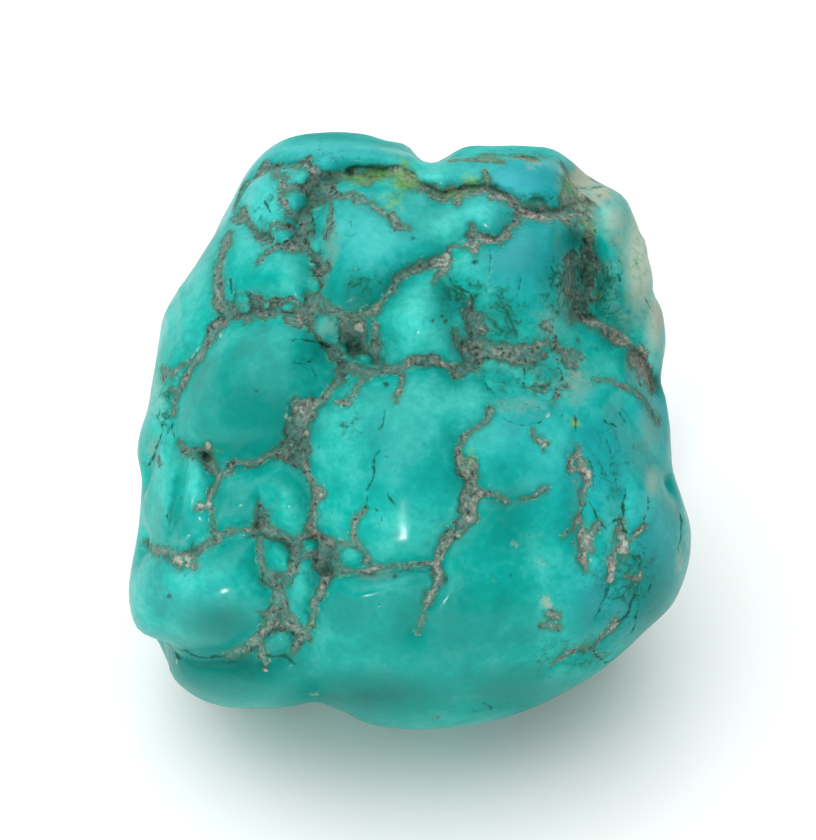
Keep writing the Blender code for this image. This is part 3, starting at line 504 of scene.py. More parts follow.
     (5.3, -9.5, 0.62), (4.8, -10.2, 0.5), (4.0, -10.6, 0.48), (3.5, -11.2, 0.45), (3.1, -12.0, 0.4),
     (2.8, -12.9, 0.42), (2.6, -13.6, 0.6), (2.9, -14.5, 0.65), (2.8, -15.2, 0.6), (2.2, -16.2, 0.45),
     (1.8, -17.0, 0.4), (1.4, -17.9, 0.25), (1.3, -18.7, 0.2), (1.0, -19.4, 0.1), (0.7, -20.2, 0.06)),
    ((7.0, -6.3, 0.5), (7.6, -6.2, 0.25), (8.2, -6.35, 0.15), (8.9, -6.7, 0.16), (9.5, -7.1, 0.22),
     (9.8, -7.2, 0.1)),
    ((11.0, -6.9, 0.05), (11.9, -6.6, 0.12), (12.8, -6.4, 0.22), (13.3, -6.1, 0.22), (13.7, -5.8, 0.12)),
    ((12.3, 0.2, 0.15), (12.3, -0.6, 0.12), (12.9, -0.9, 0.2), (13.4, -1.5, 0.3), (13.4, -2.0, 0.1)),
    # the brecciated cluster on the right
    ((16.7, -1.7, 0.1), (16.7, -2.2, 0.25), (16.3, -3.0, 0.35), (16.1, -4.0, 0.32)),
    ((16.9, -2.8, 0.3), (17.4, -3.7, 0.45), (17.8, -4.6, 0.42), (17.6, -5.5, 0.36), (17.3, -6.3, 0.36),
     (17.2, -7.2, 0.22)),
    ((17.0, -8.4, 0.15), (16.9, -9.0, 0.45), (16.4, -9.7, 0.3), (15.8, -10.2, 0.14), (15.3, -10.7, 0.1)),
    ((17.2, -9.9, 0.3), (17.4, -10.8, 0.65), (17.5, -11.7, 0.7), (17.3, -12.6, 0.55), (17.3, -13.4, 0.45),
     (17.7, -14.2, 0.1)),
    ((19.0, -9.2, 0.15), (18.8, -9.7, 0.35), (18.3, -10.3, 0.3), (17.8, -10.8, 0.4)),
    ((21.1, -9.0, 0.3), (21.0, -9.8, 0.35), (21.2, -10.6, 0.45), (21.5, -11.3, 0.6), (21.3, -12.1, 0.5),
     (20.5, -12.3, 0.3), (20.1, -12.9, 0.42), (20.1, -13.8, 0.48), (20.0, -14.7, 0.35), (20.0, -15.3, 0.12)),
    ((21.6, -11.0, 0.4), (22.3, -10.7, 0.28), (23.0, -10.1, 0.25), (23.5, -9.5, 0.25)),
    ((21.6, -14.4, 0.12), (22.2, -14.8, 0.25), (22.9, -14.7, 0.28), (23.3, -14.2, 0.15)),
    ((20.7, -19.1, 0.25), (20.2, -19.8, 0.2), (19.6, -20.3, 0.22), (19.1, -20.9, 0.15), (18.4, -21.6, 0.2),
     (17.6, -21.8, 0.22), (16.6, -22.1, 0.2), (15.6, -22.4, 0.2), (14.9, -22.8, 0.15), (14.2, -23.4, 0.08)),
    ((13.0, -19.6, 0.2), (13.7, -19.6, 0.25), (14.9, -19.7, 0.2)),
    ((13.9, -18.3, 0.3), (14.6, -18.7, 0.4)),
)

# hairline cracks on the face: right, up, half width
hairlines = (
    ((-14.5, 23.0, 0.12), (-14.3, 22.4, 0.15), (-14.1, 21.8, 0.1)),
    ((-18.0, 15.0, 0.08), (-17.9, 14.0, 0.1), (-17.7, 13.2, 0.12)),
    ((-6.0, 21.0, 0.08), (-5.9, 20.3, 0.06)),
    ((-6.5, 19.5, 0.06), (-6.1, 19.3, 0.08), (-5.2, 19.7, 0.05)),
    ((0.3, 19.2, 0.1), (1.0, 19.0, 0.06)),
    ((8.0, 18.0, 0.08), (8.05, 16.2, 0.08), (8.0, 14.6, 0.06)),
    ((11.1, 15.0, 0.08), (11.0, 14.3, 0.1), (10.7, 13.5, 0.08), (10.3, 13.2, 0.06)),
    ((14.4, 17.0, 0.06), (14.0, 16.3, 0.08), (14.3, 15.6, 0.1), (13.8, 15.0, 0.06)),
    ((23.4, 13.4, 0.03), (23.6, 12.3, 0.06), (24.1, 11.6, 0.03)),
    ((20.5, 15.7, 0.08), (20.9, 15.4, 0.14), (20.8, 14.9, 0.12), (20.4, 14.8, 0.06)),
    ((19.3, 16.5, 0.06), (19.8, 16.4, 0.12), (19.7, 16.0, 0.08)),
    ((-11.7, 8.9, 0.05), (-10.7, 9.0, 0.09), (-9.7, 8.85, 0.1), (-8.9, 8.7, 0.12), (-8.2, 8.3, 0.16)),
    ((-11.5, 6.7, 0.06), (-10.7, 6.6, 0.1), (-10.0, 6.9, 0.12), (-9.5, 7.2, 0.06)),
    ((-9.8, 6.2, 0.05), (-9.3, 5.4, 0.07)),
    ((-2.6, 2.0, 0.16), (-2.5, 1.2, 0.14), (-2.6, 0.6, 0.16), (-3.2, -0.1, 0.06)),
    ((4.0, 15.0, 0.1), (4.3, 14.4, 0.12), (4.9, 14.2, 0.14), (5.9, 13.7, 0.14), (6.2, 13.0, 0.14),
     (6.3, 12.3, 0.2)),
    ((4.1, 13.9, 0.08), (4.1, 12.9, 0.1), (4.8, 12.6, 0.06)),
    ((7.4, 6.0, 0.04), (7.3, 4.9, 0.02), (8.0, 3.9, 0.04), (8.9, 3.4, 0.02)),
    ((10.6, 3.5, 0.03), (11.3, 4.4, 0.06), (11.5, 5.6, 0.08), (11.2, 6.6, 0.03)),
    ((14.9, 6.3, 0.02), (15.3, 5.2, 0.06), (14.7, 3.9, 0.04)),
    ((10.6, 3.5, 0.03), (11.6, 2.6, 0.05), (13.0, 2.3, 0.02)),
    ((8.5, 1.6, 0.03), (9.5, 1.0, 0.06), (11.0, 0.6, 0.05), (12.5, 0.6, 0.06), (13.8, 1.0, 0.03)),
    ((19.3, 1.1, 0.07), (20.0, 0.7, 0.08), (20.7, 0.3, 0.06)),
    ((21.0, 1.7, 0.1), (21.7, 0.5, 0.08)),
    ((-25.0, 0.3, 0.08), (-24.9, -0.6, 0.08), (-25.4, -1.5, 0.1), (-25.9, -2.6, 0.1), (-26.5, -3.7, 0.05)),
    ((-23.8, 0.6, 0.06), (-23.75, -0.3, 0.12), (-23.6, -0.9, 0.06)),
    ((-3.2, -2.2, 0.08), (-3.5, -2.8, 0.14), (-3.7, -3.6, 0.16), (-3.75, -4.4, 0.16), (-3.9, -5.2, 0.12),
     (-4.2, -6.0, 0.1), (-4.3, -7.0, 0.08), (-4.5, -7.9, 0.12)),
    ((-4.4, -7.9, 0.1), (-3.6, -8.0, 0.08), (-3.0, -8.3, 0.06), (-2.8, -9.2, 0.08)),
    ((-2.2, -6.1, 0.08), (-2.0, -6.7, 0.12), (-1.4, -7.4, 0.08)),
    ((-18.4, -22.7, 0.12), (-20.0, -22.7, 0.1), (-21.0, -22.7, 0.12), (-22.0, -22.2, 0.14),
     (-23.0, -22.0, 0.1)),
    ((-25.1, -21.9, 0.12), (-24.3, -22.4, 0.16), (-23.7, -23.1, 0.16), (-23.1, -23.2, 0.1)),
    ((-14.6, -22.6, 0.12), (-13.6, -22.6, 0.14), (-12.6, -22.4, 0.14), (-11.8, -23.0, 0.12),
     (-11.2, -23.5, 0.08)),
    ((17.8, -2.8, 0.06), (18.1, -3.6, 0.1), (18.3, -4.6, 0.12), (18.4, -5.5, 0.06)),
    ((17.7, -7.1, 0.08), (17.3, -7.9, 0.08), (17.2, -8.7, 0.1)),
    ((17.9, -7.2, 0.08), (18.3, -7.8, 0.1), (18.7, -8.6, 0.1), (19.1, -9.3, 0.12), (19.5, -9.8, 0.1),
     (20.0, -9.3, 0.06), (20.7, -9.0, 0.1), (21.2, -8.8, 0.12)),
    ((21.5, -5.4, 0.04), (21.5, -6.5, 0.07), (21.3, -7.4, 0.1), (21.4, -8.4, 0.1), (21.1, -9.2, 0.1)),
    ((21.1, -9.2, 0.1), (21.4, -10.0, 0.14), (22.0, -10.5, 0.14), (22.6, -10.1, 0.12), (23.2, -9.6, 0.12),
     (23.5, -9.2, 0.1)),
    ((23.9, -6.6, 0.05), (23.7, -7.8, 0.06), (23.4, -8.9, 0.05)),
    ((20.0, -15.3, 0.12), (19.6, -16.3, 0.14), (19.3, -17.2, 0.1), (18.9, -18.2, 0.08),
     (18.3, -18.8, 0.06)),
    ((22.8, -15.6, 0.08), (22.7, -16.4, 0.1), (22.2, -17.2, 0.12), (21.9, -18.2, 0.12), (21.2, -18.9, 0.14),
     (20.7, -19.1, 0.16)),
    ((24.0, -15.4, 0.08), (23.8, -16.0, 0.1)),
    ((23.0, -17.3, 0.06), (22.6, -18.4, 0.1), (22.4, -19.5, 0.1), (22.2, -20.2, 0.06)),
    ((21.3, -20.8, 0.12), (21.8, -20.3, 0.08)),
    ((18.4, -22.0, 0.06), (18.5, -22.6, 0.1), (19.4, -23.0, 0.1)),
    ((21.4, -16.5, 0.1), (21.7, -17.3, 0.1)),
    ((26.9, -8.5, 0.1), (26.9, -9.6, 0.1), (26.75, -11.0, 0.05), (26.7, -11.9, 0.1), (26.8, -12.4, 0.06)),
    ((19.7, -0.9, 0.08), (19.9, -1.7, 0.1), (20.0, -2.7, 0.08)),
    ((20.1, -3.4, 0.08), (20.1, -4.6, 0.06)),
    ((20.6, -4.8, 0.1), (20.7, -5.6, 0.06)),
    ((16.5, 1.4, 0.06), (16.5, 0.7, 0.2), (16.6, 0.1, 0.08), (16.4, -0.6, 0.04), (16.7, -1.6, 0.05)),
    ((7.4, -27.2, 0.1), (8.2, -27.9, 0.12)),
)

# turquoise islands inside the matrix: right, up, half width, half height, turn in degrees
islands = (
    (-6.5, 24.3, 1.1, 0.75, 0), (-9.0, 21.4, 0.85, 1.4, -15), (-9.4, 18.5, 0.75, 0.9, 0),
    (-12.9, 19.3, 1.1, 0.75, 0), (-9.6, 14.4, 0.7, 0.8, 0), (-8.3, 10.0, 1.7, 1.1, -45),
    (-16.6, 12.2, 0.6, 0.5, 20), (-14.4, 12.5, 0.5, 0.4, 0), (-12.2, 12.2, 0.75, 0.5, 0),
    (-18.1, 13.9, 0.65, 1.5, 10), (-16.6, 12.9, 0.7, 1.2, 8), (-2.0, 24.1, 1.2, 1.0, 0),
    (-4.0, 23.8, 0.9, 0.5, 0), (6.5, 25.3, 0.8, 0.5, 0), (-11.0, 25.4, 1.1, 0.85, 0),
    (-11.3, 22.9, 1.0, 1.0, 0), (-4.7, 7.0, 1.0, 0.65, 0), (-6.4, 4.3, 1.4, 0.5, 50),
    (9.0, 5.0, 1.3, 0.9, 0), (13.0, 5.4, 1.6, 1.1, 0), (17.3, 22.2, 0.5, 0.4, 0),
    (-18.7, -3.5, 0.55, 0.55, 0), (-13.3, -12.6, 1.3, 1.55, 0), (-10.1, -11.5, 0.8, 0.75, 0),
    (-10.8, -15.8, 1.4, 1.5, 0), (-10.3, -13.4, 0.5, 0.5, 0), (-10.7, -18.7, 0.6, 0.85, 0),
    (-13.1, -21.0, 1.35, 1.05, 0), (5.8, -2.2, 0.4, 0.45, 0), (-5.9, -12.7, 1.35, 1.0, 0),
    (-22.8, -11.3, 1.1, 0.9, 0),
)

# loose marks: right, up, radius
darkPits = (
    (-5.9, 25.7, 0.45), (-5.7, 8.5, 0.85), (-20.4, -2.7, 0.45), (-15.4, 3.9, 0.22), (17.5, 15.6, 0.9),
    (2.4, 11.0, 0.25), (3.2, 11.4, 0.2), (3.6, 10.9, 0.25), (-2.3, 4.5, 0.28), (6.5, 16.8, 0.28),
    (3.6, -14.9, 0.25), (-8.2, -13.8, 0.6), (-15.1, -9.5, 0.45), (12.1, -3.2, 0.16), (-19.6, -15.7, 0.13),
    (-24.1, -16.6, 0.2), (-7.5, -0.7, 0.12), (22.5, -12.9, 0.2), (22.9, -12.7, 0.22), (-1.6, -14.6, 0.22),
    (13.0, -19.6, 0.18), (10.0, -14.5, 0.16), (-22.5, -13.2, 0.18), (-17.45, -3.4, 0.16),
    (-16.4, -17.7, 0.12), (-3.2, -17.5, 0.12), (-24.25, -8.6, 0.2), (15.2, 1.5, 0.14), (-9.0, -1.9, 0.12),
    (-4.7, -0.2, 0.1), (-8.8, -1.1, 0.12), (9.0, -2.0, 0.1), (14.6, -13.6, 0.1), (8.6, -10.0, 0.1),
)
paleChips = (
    (-12.5, 1.35, 0.28), (-12.1, 1.05, 0.22), (-10.3, -0.2, 0.3), (-11.8, -1.4, 0.2), (-5.2, 10.3, 0.36),
    (-4.9, 10.0, 0.25), (-19.0, 9.3, 0.22), (3.7, 17.3, 0.3), (13.8, 1.5, 0.3), (-23.1, -12.9, 0.35),
    (-22.2, -12.9, 0.3), (-22.4, -13.6, 0.25), (-20.8, -7.5, 0.3), (-20.1, -7.3, 0.2), (-20.2, -1.5, 0.26),
    (-26.6, -11.4, 0.2), (4.9, -10.5, 0.28), (9.5, -7.1, 0.18), (12.8, -6.4, 0.16), (13.4, -1.5, 0.22),
    (24.1, -13.7, 0.22), (23.1, -14.5, 0.16), (-14.4, -24.0, 0.25), (-23.7, -23.4, 0.14),
    (-15.7, -23.7, 0.14), (14.7, -19.2, 0.14), (13.2, -12.9, 0.2), (16.0, -14.0, 0.16), (16.1, -14.7, 0.14),
    (-24.3, -9.2, 0.16), (-8.6, 0.2, 0.2), (-9.0, -6.5, 0.2), (-0.8, 5.0, 0.16), (-1.1, 3.9, 0.16),
)

# broad tints on the face: right, up, half width, half height, strength
tints = {
    "chalk": (
        (23.0, 17.6, 1.7, 6.0, 1.05), (24.3, 11.0, 1.0, 4.0, 0.8), (20.3, 21.2, 1.5, 2.4, 0.65),
        (21.4, 18.0, 1.0, 3.0, 0.5), (18.4, 24.2, 1.4, 1.2, 0.5), (15.6, 26.2, 1.0, 0.8, 0.4),
        (24.2, -5.2, 0.9, 1.9, 0.55), (13.7, -16.6, 0.8, 0.8, 0.15), (26.7, -13.2, 0.6, 2.4, 0.45),
        (27.6, -11.0, 0.6, 1.6, 0.35), (13.0, -13.2, 0.7, 0.8, 0.3), (-27.0, -15.5, 1.2, 3.6, 0.25),
        (-25.2, 4.0, 0.9, 4.4, 0.4), (-26.2, -1.6, 0.8, 2.8, 0.22),
    ),
    "olive": (
        (-5.0, 12.8, 2.0, 1.4, 0.2), (-5.4, 25.1, 1.5, 1.0, 0.6), (-3.2, 25.6, 1.7, 0.9, 0.8),
        (-0.6, 25.0, 1.4, 1.3, 1.0), (-0.5, 26.6, 0.8, 0.8, 0.7), (22.0, 17.0, 1.2, 5.0, 0.28),
        (9.4, 27.6, 2.6, 0.5, 0.45), (-1.6, 23.2, 1.6, 0.9, 0.6), (6.0, 25.0, 1.6, 0.9, 0.7),
        (4.4, 23.8, 1.4, 0.6, 0.6), (-1.5, 27.8, 1.4, 0.6, 0.5), (-1.6, 22.4, 1.4, 0.8, 0.5),
        (-9.0, -20.0, 1.1, 0.9, 0.3), (-23.4, -22.5, 1.1, 0.6, 0.35), (16.5, 0.8, 0.8, 0.7, 0.6),
        (-19.2, -2.2, 0.9, 0.8, 0.35), (6.1, -2.4, 0.8, 0.9, 0.5), (-25.4, -17.0, 1.6, 1.4, 0.2),
        (8.0, 15.6, 0.4, 2.0, 0.3), (15.5, 24.6, 1.6, 1.2, 0.5), (18.2, 20.4, 1.4, 1.4, 0.45),
        (19.7, 15.4, 1.1, 2.2, 0.25), (21.4, 11.6, 0.8, 1.6, 0.25),
    ),
    "dull": (
        (13.6, 10.8, 2.0, 2.6, 0.6), (11.0, 2.4, 4.4, 1.5, 0.6), (13.0, 5.4, 4.0, 2.4, 0.45),
        (21.2, 11.2, 1.6, 2.2, 0.5), (24.0, 0.2, 1.6, 3.6, 0.85), (-18.8, 17.2, 0.7, 2.2, 0.7),
        (-24.4, 3.0, 0.9, 3.4, 0.5), (-22.8, -11.2, 1.3, 1.0, 0.6), (12.0, 6.6, 3.4, 1.6, 0.6),
        (20.2, 13.0, 1.8, 3.4, 0.5), (19.6, 15.8, 1.0, 2.2, 0.6), (-21.6, -13.5, 1.1, 0.7, 0.8),
        (-3.6, -14.4, 2.8, 0.8, 1.0), (-25.8, -2.4, 0.9, 3.0, 0.8), (-3.6, 9.4, 0.7, 1.6, 0.5),
        (-9.4, -26.2, 1.0, 0.6, 0.4), (16.4, 4.6, 2.4, 3.0, 0.7), (17.6, -6.4, 1.4, 3.0, 0.25),
        (17.6, 22.0, 2.0, 3.6, 0.9), (-7.9, 18.6, 1.2, 3.2, 0.8), (-8.2, 10.2, 1.8, 1.6, 0.7),
        (-15.0, 12.6, 3.2, 1.0, 0.6), (18.6, -22.4, 4.0, 1.0, 0.4), (15.5, 14.0, 1.0, 4.2, 1.0),
        (-24.6, 4.4, 0.8, 3.4, 0.55),
    ),
    "blue": (
        (11.0, 25.0, 6.0, 2.8, 0.7), (11.4, 17.6, 3.8, 4.6, 0.6), (-8.0, 28.0, 7.0, 1.8, 0.5),
        (24.0, -12.0, 3.4, 6.0, 0.5), (19.4, -3.0, 5.4, 6.0, 0.4), (24.4, 1.0, 2.0, 4.0, 0.75),
        (-3.6, 19.4, 5.0, 4.0, 0.35), (-13.8, 22.4, 4.0, 4.0, 0.3), (7.6, 21.4, 3.0, 2.0, 0.4),
        (12.0, -0.6, 5.0, 3.4, 0.35), (3.0, 24.0, 4.0, 3.0, 0.2), (-0.6, -1.0, 5.0, 6.0, 0.15),
        (-22.8, -16.0, 5.0, 4.0, 0.15), (20.5, -17.0, 5.0, 4.0, 0.45), (13.6, -3.0, 3.0, 3.0, 0.4),
    ),
    "tan": (
        (17.3, 25.7, 2.4, 1.4, 1.0), (19.2, 23.9, 1.8, 1.4, 0.9), (17.2, 23.2, 1.8, 1.8, 0.9),
        (20.8, 20.2, 1.0, 2.6, 0.5), (18.2, 21.6, 1.2, 1.2, 0.5), (13.8, -17.4, 0.9, 1.6, 0.5),
        (13.0, -13.2, 0.7, 0.8, 0.5), (10.4, -11.6, 0.6, 0.5, 0.4), (10.6, -13.8, 0.5, 0.5, 0.45),
        (24.6, 11.4, 0.9, 2.4, 0.6), (12.4, 26.6, 1.4, 1.0, 0.5), (4.0, 27.6, 2.6, 0.5, 0.5),
        (16.6, 5.0, 1.6, 1.6, 0.5), (-9.3, -26.6, 0.8, 0.5, 0.3),
    ),
    # deeper turquoise: partly its own colour, partly painted shade along the bottom, on down-facing sides
    # and in hollows
    "depth": (
        (3.0, -20.0, 10.5, 7.0, 0.6), (-18.0, -24.0, 10.0, 4.0, 1.0), (-5.0, -26.5, 14.0, 3.4, 0.95),
        (24.0, -17.0, 3.0, 5.0, 0.8), (-15.5, 2.0, 6.5, 5.5, 0.75), (-12.4, -5.4, 3.4, 3.0, 0.1),
        (9.4, -9.0, 3.4, 5.0, 0.6), (-5.2, 13.0, 2.8, 2.8, 0.8), (9.0, 12.0, 4.0, 3.4, 0.35),
        (13.6, 15.0, 1.6, 4.0, 0.5), (-5.5, -18.5, 4.0, 3.0, 0.6), (19.8, 14.0, 1.5, 4.2, 0.7),
        (21.4, 11.2, 1.6, 2.2, 0.9), (11.0, 17.0, 4.0, 4.0, 0.35), (-24.0, -9.0, 2.0, 2.0, 0.4),
        (-19.0, -19.4, 4.4, 3.0, 0.9), (21.0, -19.6, 5.0, 3.6, 0.5), (10.0, 28.2, 6.0, 0.8, 0.25),
        (-11.0, 30.0, 9.0, 1.1, 0.6), (-17.0, -1.4, 4.0, 1.6, 0.7), (-17.6, -7.6, 2.6, 2.6, 0.5),
        (10.0, -26.0, 9.0, 3.4, 0.8), (-2.6, 13.8, 1.8, 1.8, 0.6), (3.6, 13.0, 1.0, 2.2, 0.8),
        (-2.6, -2.0, 6.0, 6.0, 0.3),
    ),
    # paler turquoise: partly its own lighter patches, partly a painted sheen on the lit tops of lobes
    "paleAndSheen": (
        (-21.5, -15.0, 3.6, 2.0, 0.5), (0.6, 10.8, 2.6, 3.0, 0.6), (2.2, 25.4, 2.2, 0.9, 1.0),
        (7.4, 21.8, 1.9, 1.6, 0.9), (6.7, 23.1, 1.2, 0.8, 0.7), (1.2, 23.2, 1.2, 0.9, 0.7),
        (0.5, 26.4, 1.2, 0.7, 0.9), (-23.2, 11.0, 1.8, 4.0, 0.5), (-7.0, -1.6, 2.4, 4.0, 0.35),
        (-1.4, -9.0, 1.2, 1.8, 0.4), (0.4, 0.6, 3.6, 2.6, 0.3), (9.0, -0.6, 3.0, 2.0, 0.2),
        (14.0, -2.0, 1.8, 2.6, 0.6), (-3.4, 19.4, 3.4, 2.6, 0.5), (-9.0, 28.2, 5.0, 1.4, 0.5),
        (-14.4, 22.8, 2.8, 2.8, 0.8), (10.5, 28.4, 5.0, 0.8, 0.35), (1.0, -9.6, 3.0, 2.4, 0.4),
        (3.8, 20.2, 2.0, 1.8, 0.9), (-24.6, -4.0, 1.2, 3.0, 0.4), (-21.6, -5.2, 0.8, 2.4, 0.9),
        (-24.4, -6.4, 0.7, 3.0, 0.6), (2.5, 2.6, 3.0, 2.0, 0.4), (-26.6, -17.0, 1.4, 3.4, 0.15),
        (24.6, 0.4, 1.0, 2.4, 0.45), (13.6, -17.6, 1.4, 6.0, 0.35), (-6.4, -11.8, 1.2, 1.0, 0.5),
        (22.4, -3.0, 1.6, 3.4, 0.4),
    ),
    "veinlets": (
        (9.5, 11.4, 3.2, 3.0, 0.8), (14.8, 14.5, 1.6, 3.4, 0.9), (13.0, 22.8, 3.0, 1.2, 0.7),
        (20.5, -4.5, 3.2, 6.0, 0.45), (21.5, -14.5, 3.2, 4.5, 0.8), (16.5, -22.5, 6.0, 1.8, 0.6),
        (8.0, -27.6, 8.0, 1.1, 0.4), (-5.0, 14.4, 2.4, 1.8, 0.7), (5.2, 13.6, 2.2, 2.2, 0.9),
        (12.0, 5.0, 4.5, 2.6, 0.42), (-13.5, 21.0, 3.0, 4.0, 0.4), (-23.1, -7.0, 0.6, 4.0, 0.35),
        (-24.4, 2.0, 1.0, 4.0, 0.6), (19.6, 13.5, 1.8, 5.0, 0.7), (10.0, 27.6, 6.0, 1.0, 0.6),
        (-9.0, 27.4, 5.0, 1.4, 0.4), (-6.0, 0.5, 3.0, 3.0, 0.3),
    ),
    "sand": (
        (-22.6, -13.1, 1.4, 0.8, 1.0), (-24.6, -12.0, 2.4, 0.6, 0.4), (5.8, -6.0, 1.6, 4.4, 0.2),
        (3.0, -13.5, 1.4, 2.6, 0.3), (17.4, -11.6, 1.0, 2.6, 0.7), (16.9, -4.0, 1.2, 2.6, 0.6),
        (21.2, -11.4, 1.0, 1.4, 0.9), (20.0, -13.8, 0.8, 1.6, 1.0), (23.0, -10.2, 1.0, 0.8, 0.6),
        (17.2, 25.6, 2.0, 1.2, 1.0), (17.8, 23.0, 2.0, 2.0, 0.9), (-4.4, -14.1, 3.2, 0.7, 0.3),
        (-9.6, -5.0, 0.8, 3.4, 0.3), (-10.4, 2.0, 1.2, 1.0, 0.5), (-11.6, 11.6, 3.0, 1.0, 0.35),
        (21.0, 9.0, 2.2, 1.0, 0.9), (23.2, 6.6, 1.4, 2.4, 1.0), (18.4, 10.6, 1.0, 0.6, 0.7),
        (13.0, 21.6, 3.0, 0.9, 0.6), (-7.0, 9.4, 1.4, 1.2, 0.3), (-15.0, -9.8, 1.4, 0.8, 0.3),
        (2.4, 16.6, 2.2, 0.8, 0.5), (8.4, 23.6, 4.0, 1.0, 0.4), (8.0, 19.0, 3.0, 1.0, 0.5),
        (-15.5, 26.0, 1.6, 1.0, 0.5), (-10.2, 26.0, 1.0, 1.0, 0.4), (-20.5, -7.6, 1.0, 0.6, 0.8),
        (19.8, -19.8, 2.0, 1.0, 0.4),
    ),
    # painted shade: darker teal in pits, valleys and the deep groove
    "paintedShade": (
        (-5.6, 8.4, 1.6, 1.4, 1.0), (-6.8, 6.0, 0.9, 1.4, 0.8), (-9.3, 22.5, 1.2, 2.6, 0.8),
        (-10.0, 19.6, 1.2, 1.0, 0.6), (-9.2, 16.4, 1.1, 1.4, 0.5), (-8.4, 25.0, 1.4, 0.7, 0.7),
        (-4.0, 25.5, 1.4, 0.7, 0.6), (17.8, 15.2, 1.0, 4.0, 0.9), (17.4, 12.2, 1.0, 1.2, 0.6),
        (6.5, 9.0, 1.0, 1.4, 0.35), (-13.0, -18.5, 1.0, 1.2, 0.4), (5.6, -5.0, 1.0, 2.6, 0.3),
        (-11.5, -1.2, 1.4, 1.6, 0.6), (-15.0, -8.8, 0.8, 1.0, 0.7), (-20.4, -2.6, 0.9, 0.6, 0.9),
        (-8.3, -13.0, 0.9, 1.4, 0.8), (-12.9, -15.2, 0.8, 1.4, 0.5), (3.6, -14.9, 0.5, 0.5, 0.9),
        (-21.8, -12.0, 0.8, 0.4, 0.8), (-24.4, -12.7, 0.7, 0.4, 0.6), (6.4, 11.5, 0.8, 1.4, 0.4),
        (-16.0, 12.6, 1.0, 0.8, 0.3), (-14.6, 19.4, 1.0, 0.5, 0.6), (-9.6, 12.0, 1.2, 1.6, 0.35),
        (-22.7, -5.0, 0.35, 2.0, 0.5), (-23.6, -8.6, 0.35, 1.6, 0.5), (-18.0, -1.8, 3.0, 0.4, 0.3),
    ),
    "matt": (
        (0.6, -21.2, 1.4, 1.4, 1.0), (-14.8, -24.0, 2.2, 1.2, 1.0), (-11.4, -22.6, 1.4, 1.0, 0.9),
        (-5.9, -8.8, 0.9, 0.9, 0.8), (7.5, -5.4, 0.9, 0.7, 0.7), (13.9, -5.8, 0.7, 0.6, 0.8),
        (-22.6, 6.4, 1.0, 2.6, 0.8), (-24.2, 2.2, 1.0, 2.6, 0.8), (-6.6, 12.9, 1.2, 0.8, 0.8),
        (-8.0, 29.6, 9.0, 1.2, 1.0), (10.0, 28.4, 7.0, 1.0, 1.0), (17.2, 15.0, 2.2, 5.0, 1.0),
        (12.6, 4.6, 3.6, 2.6, 0.4), (-14.2, 1.3, 1.3, 2.0, 1.0), (22.6, 18.0, 2.0, 5.0, 0.6),
        (24.8, 1.0, 1.2, 4.0, 0.8), (-10.0, -25.8, 1.6, 1.6, 0.8),
    ),
    "rust": (
        (21.8, 8.4, 2.4, 1.6, 0.6), (23.4, 6.4, 1.2, 2.4, 0.65), (12.0, 27.4, 2.4, 1.2, 0.35),
        (20.2, 23.6, 0.8, 0.6, 0.6), (-5.2, 10.3, 0.8, 0.6, 0.8), (-1.0, 4.2, 0.5, 1.4, 0.7),
        (12.4, 26.3, 1.6, 0.8, 0.4), (23.6, 12.6, 0.4, 1.0, 0.6), (-9.2, -6.2, 0.8, 0.6, 0.5),
        (-10.0, -10.2, 0.9, 0.7, 0.4), (-19.8, -3.2, 0.6, 0.9, 0.5), (-23.8, -8.8, 0.5, 0.8, 0.5),
        (18.8, 25.0, 1.6, 0.8, 0.4),
    ),
}

# how strong each tint gets on the hidden sides, where it lies in loose clouds
hiddenTints = {
    "chalk": 0.3, "olive": 0.15, "dull": 0.55, "blue": 0.8, "tan": 0.15, "depth": 1.0, "paleAndSheen": 0.8,
    "veinlets": 0.7, "sand": 0.5, "paintedShade": 0.6, "matt": 0.6, "rust": 0.4,
}

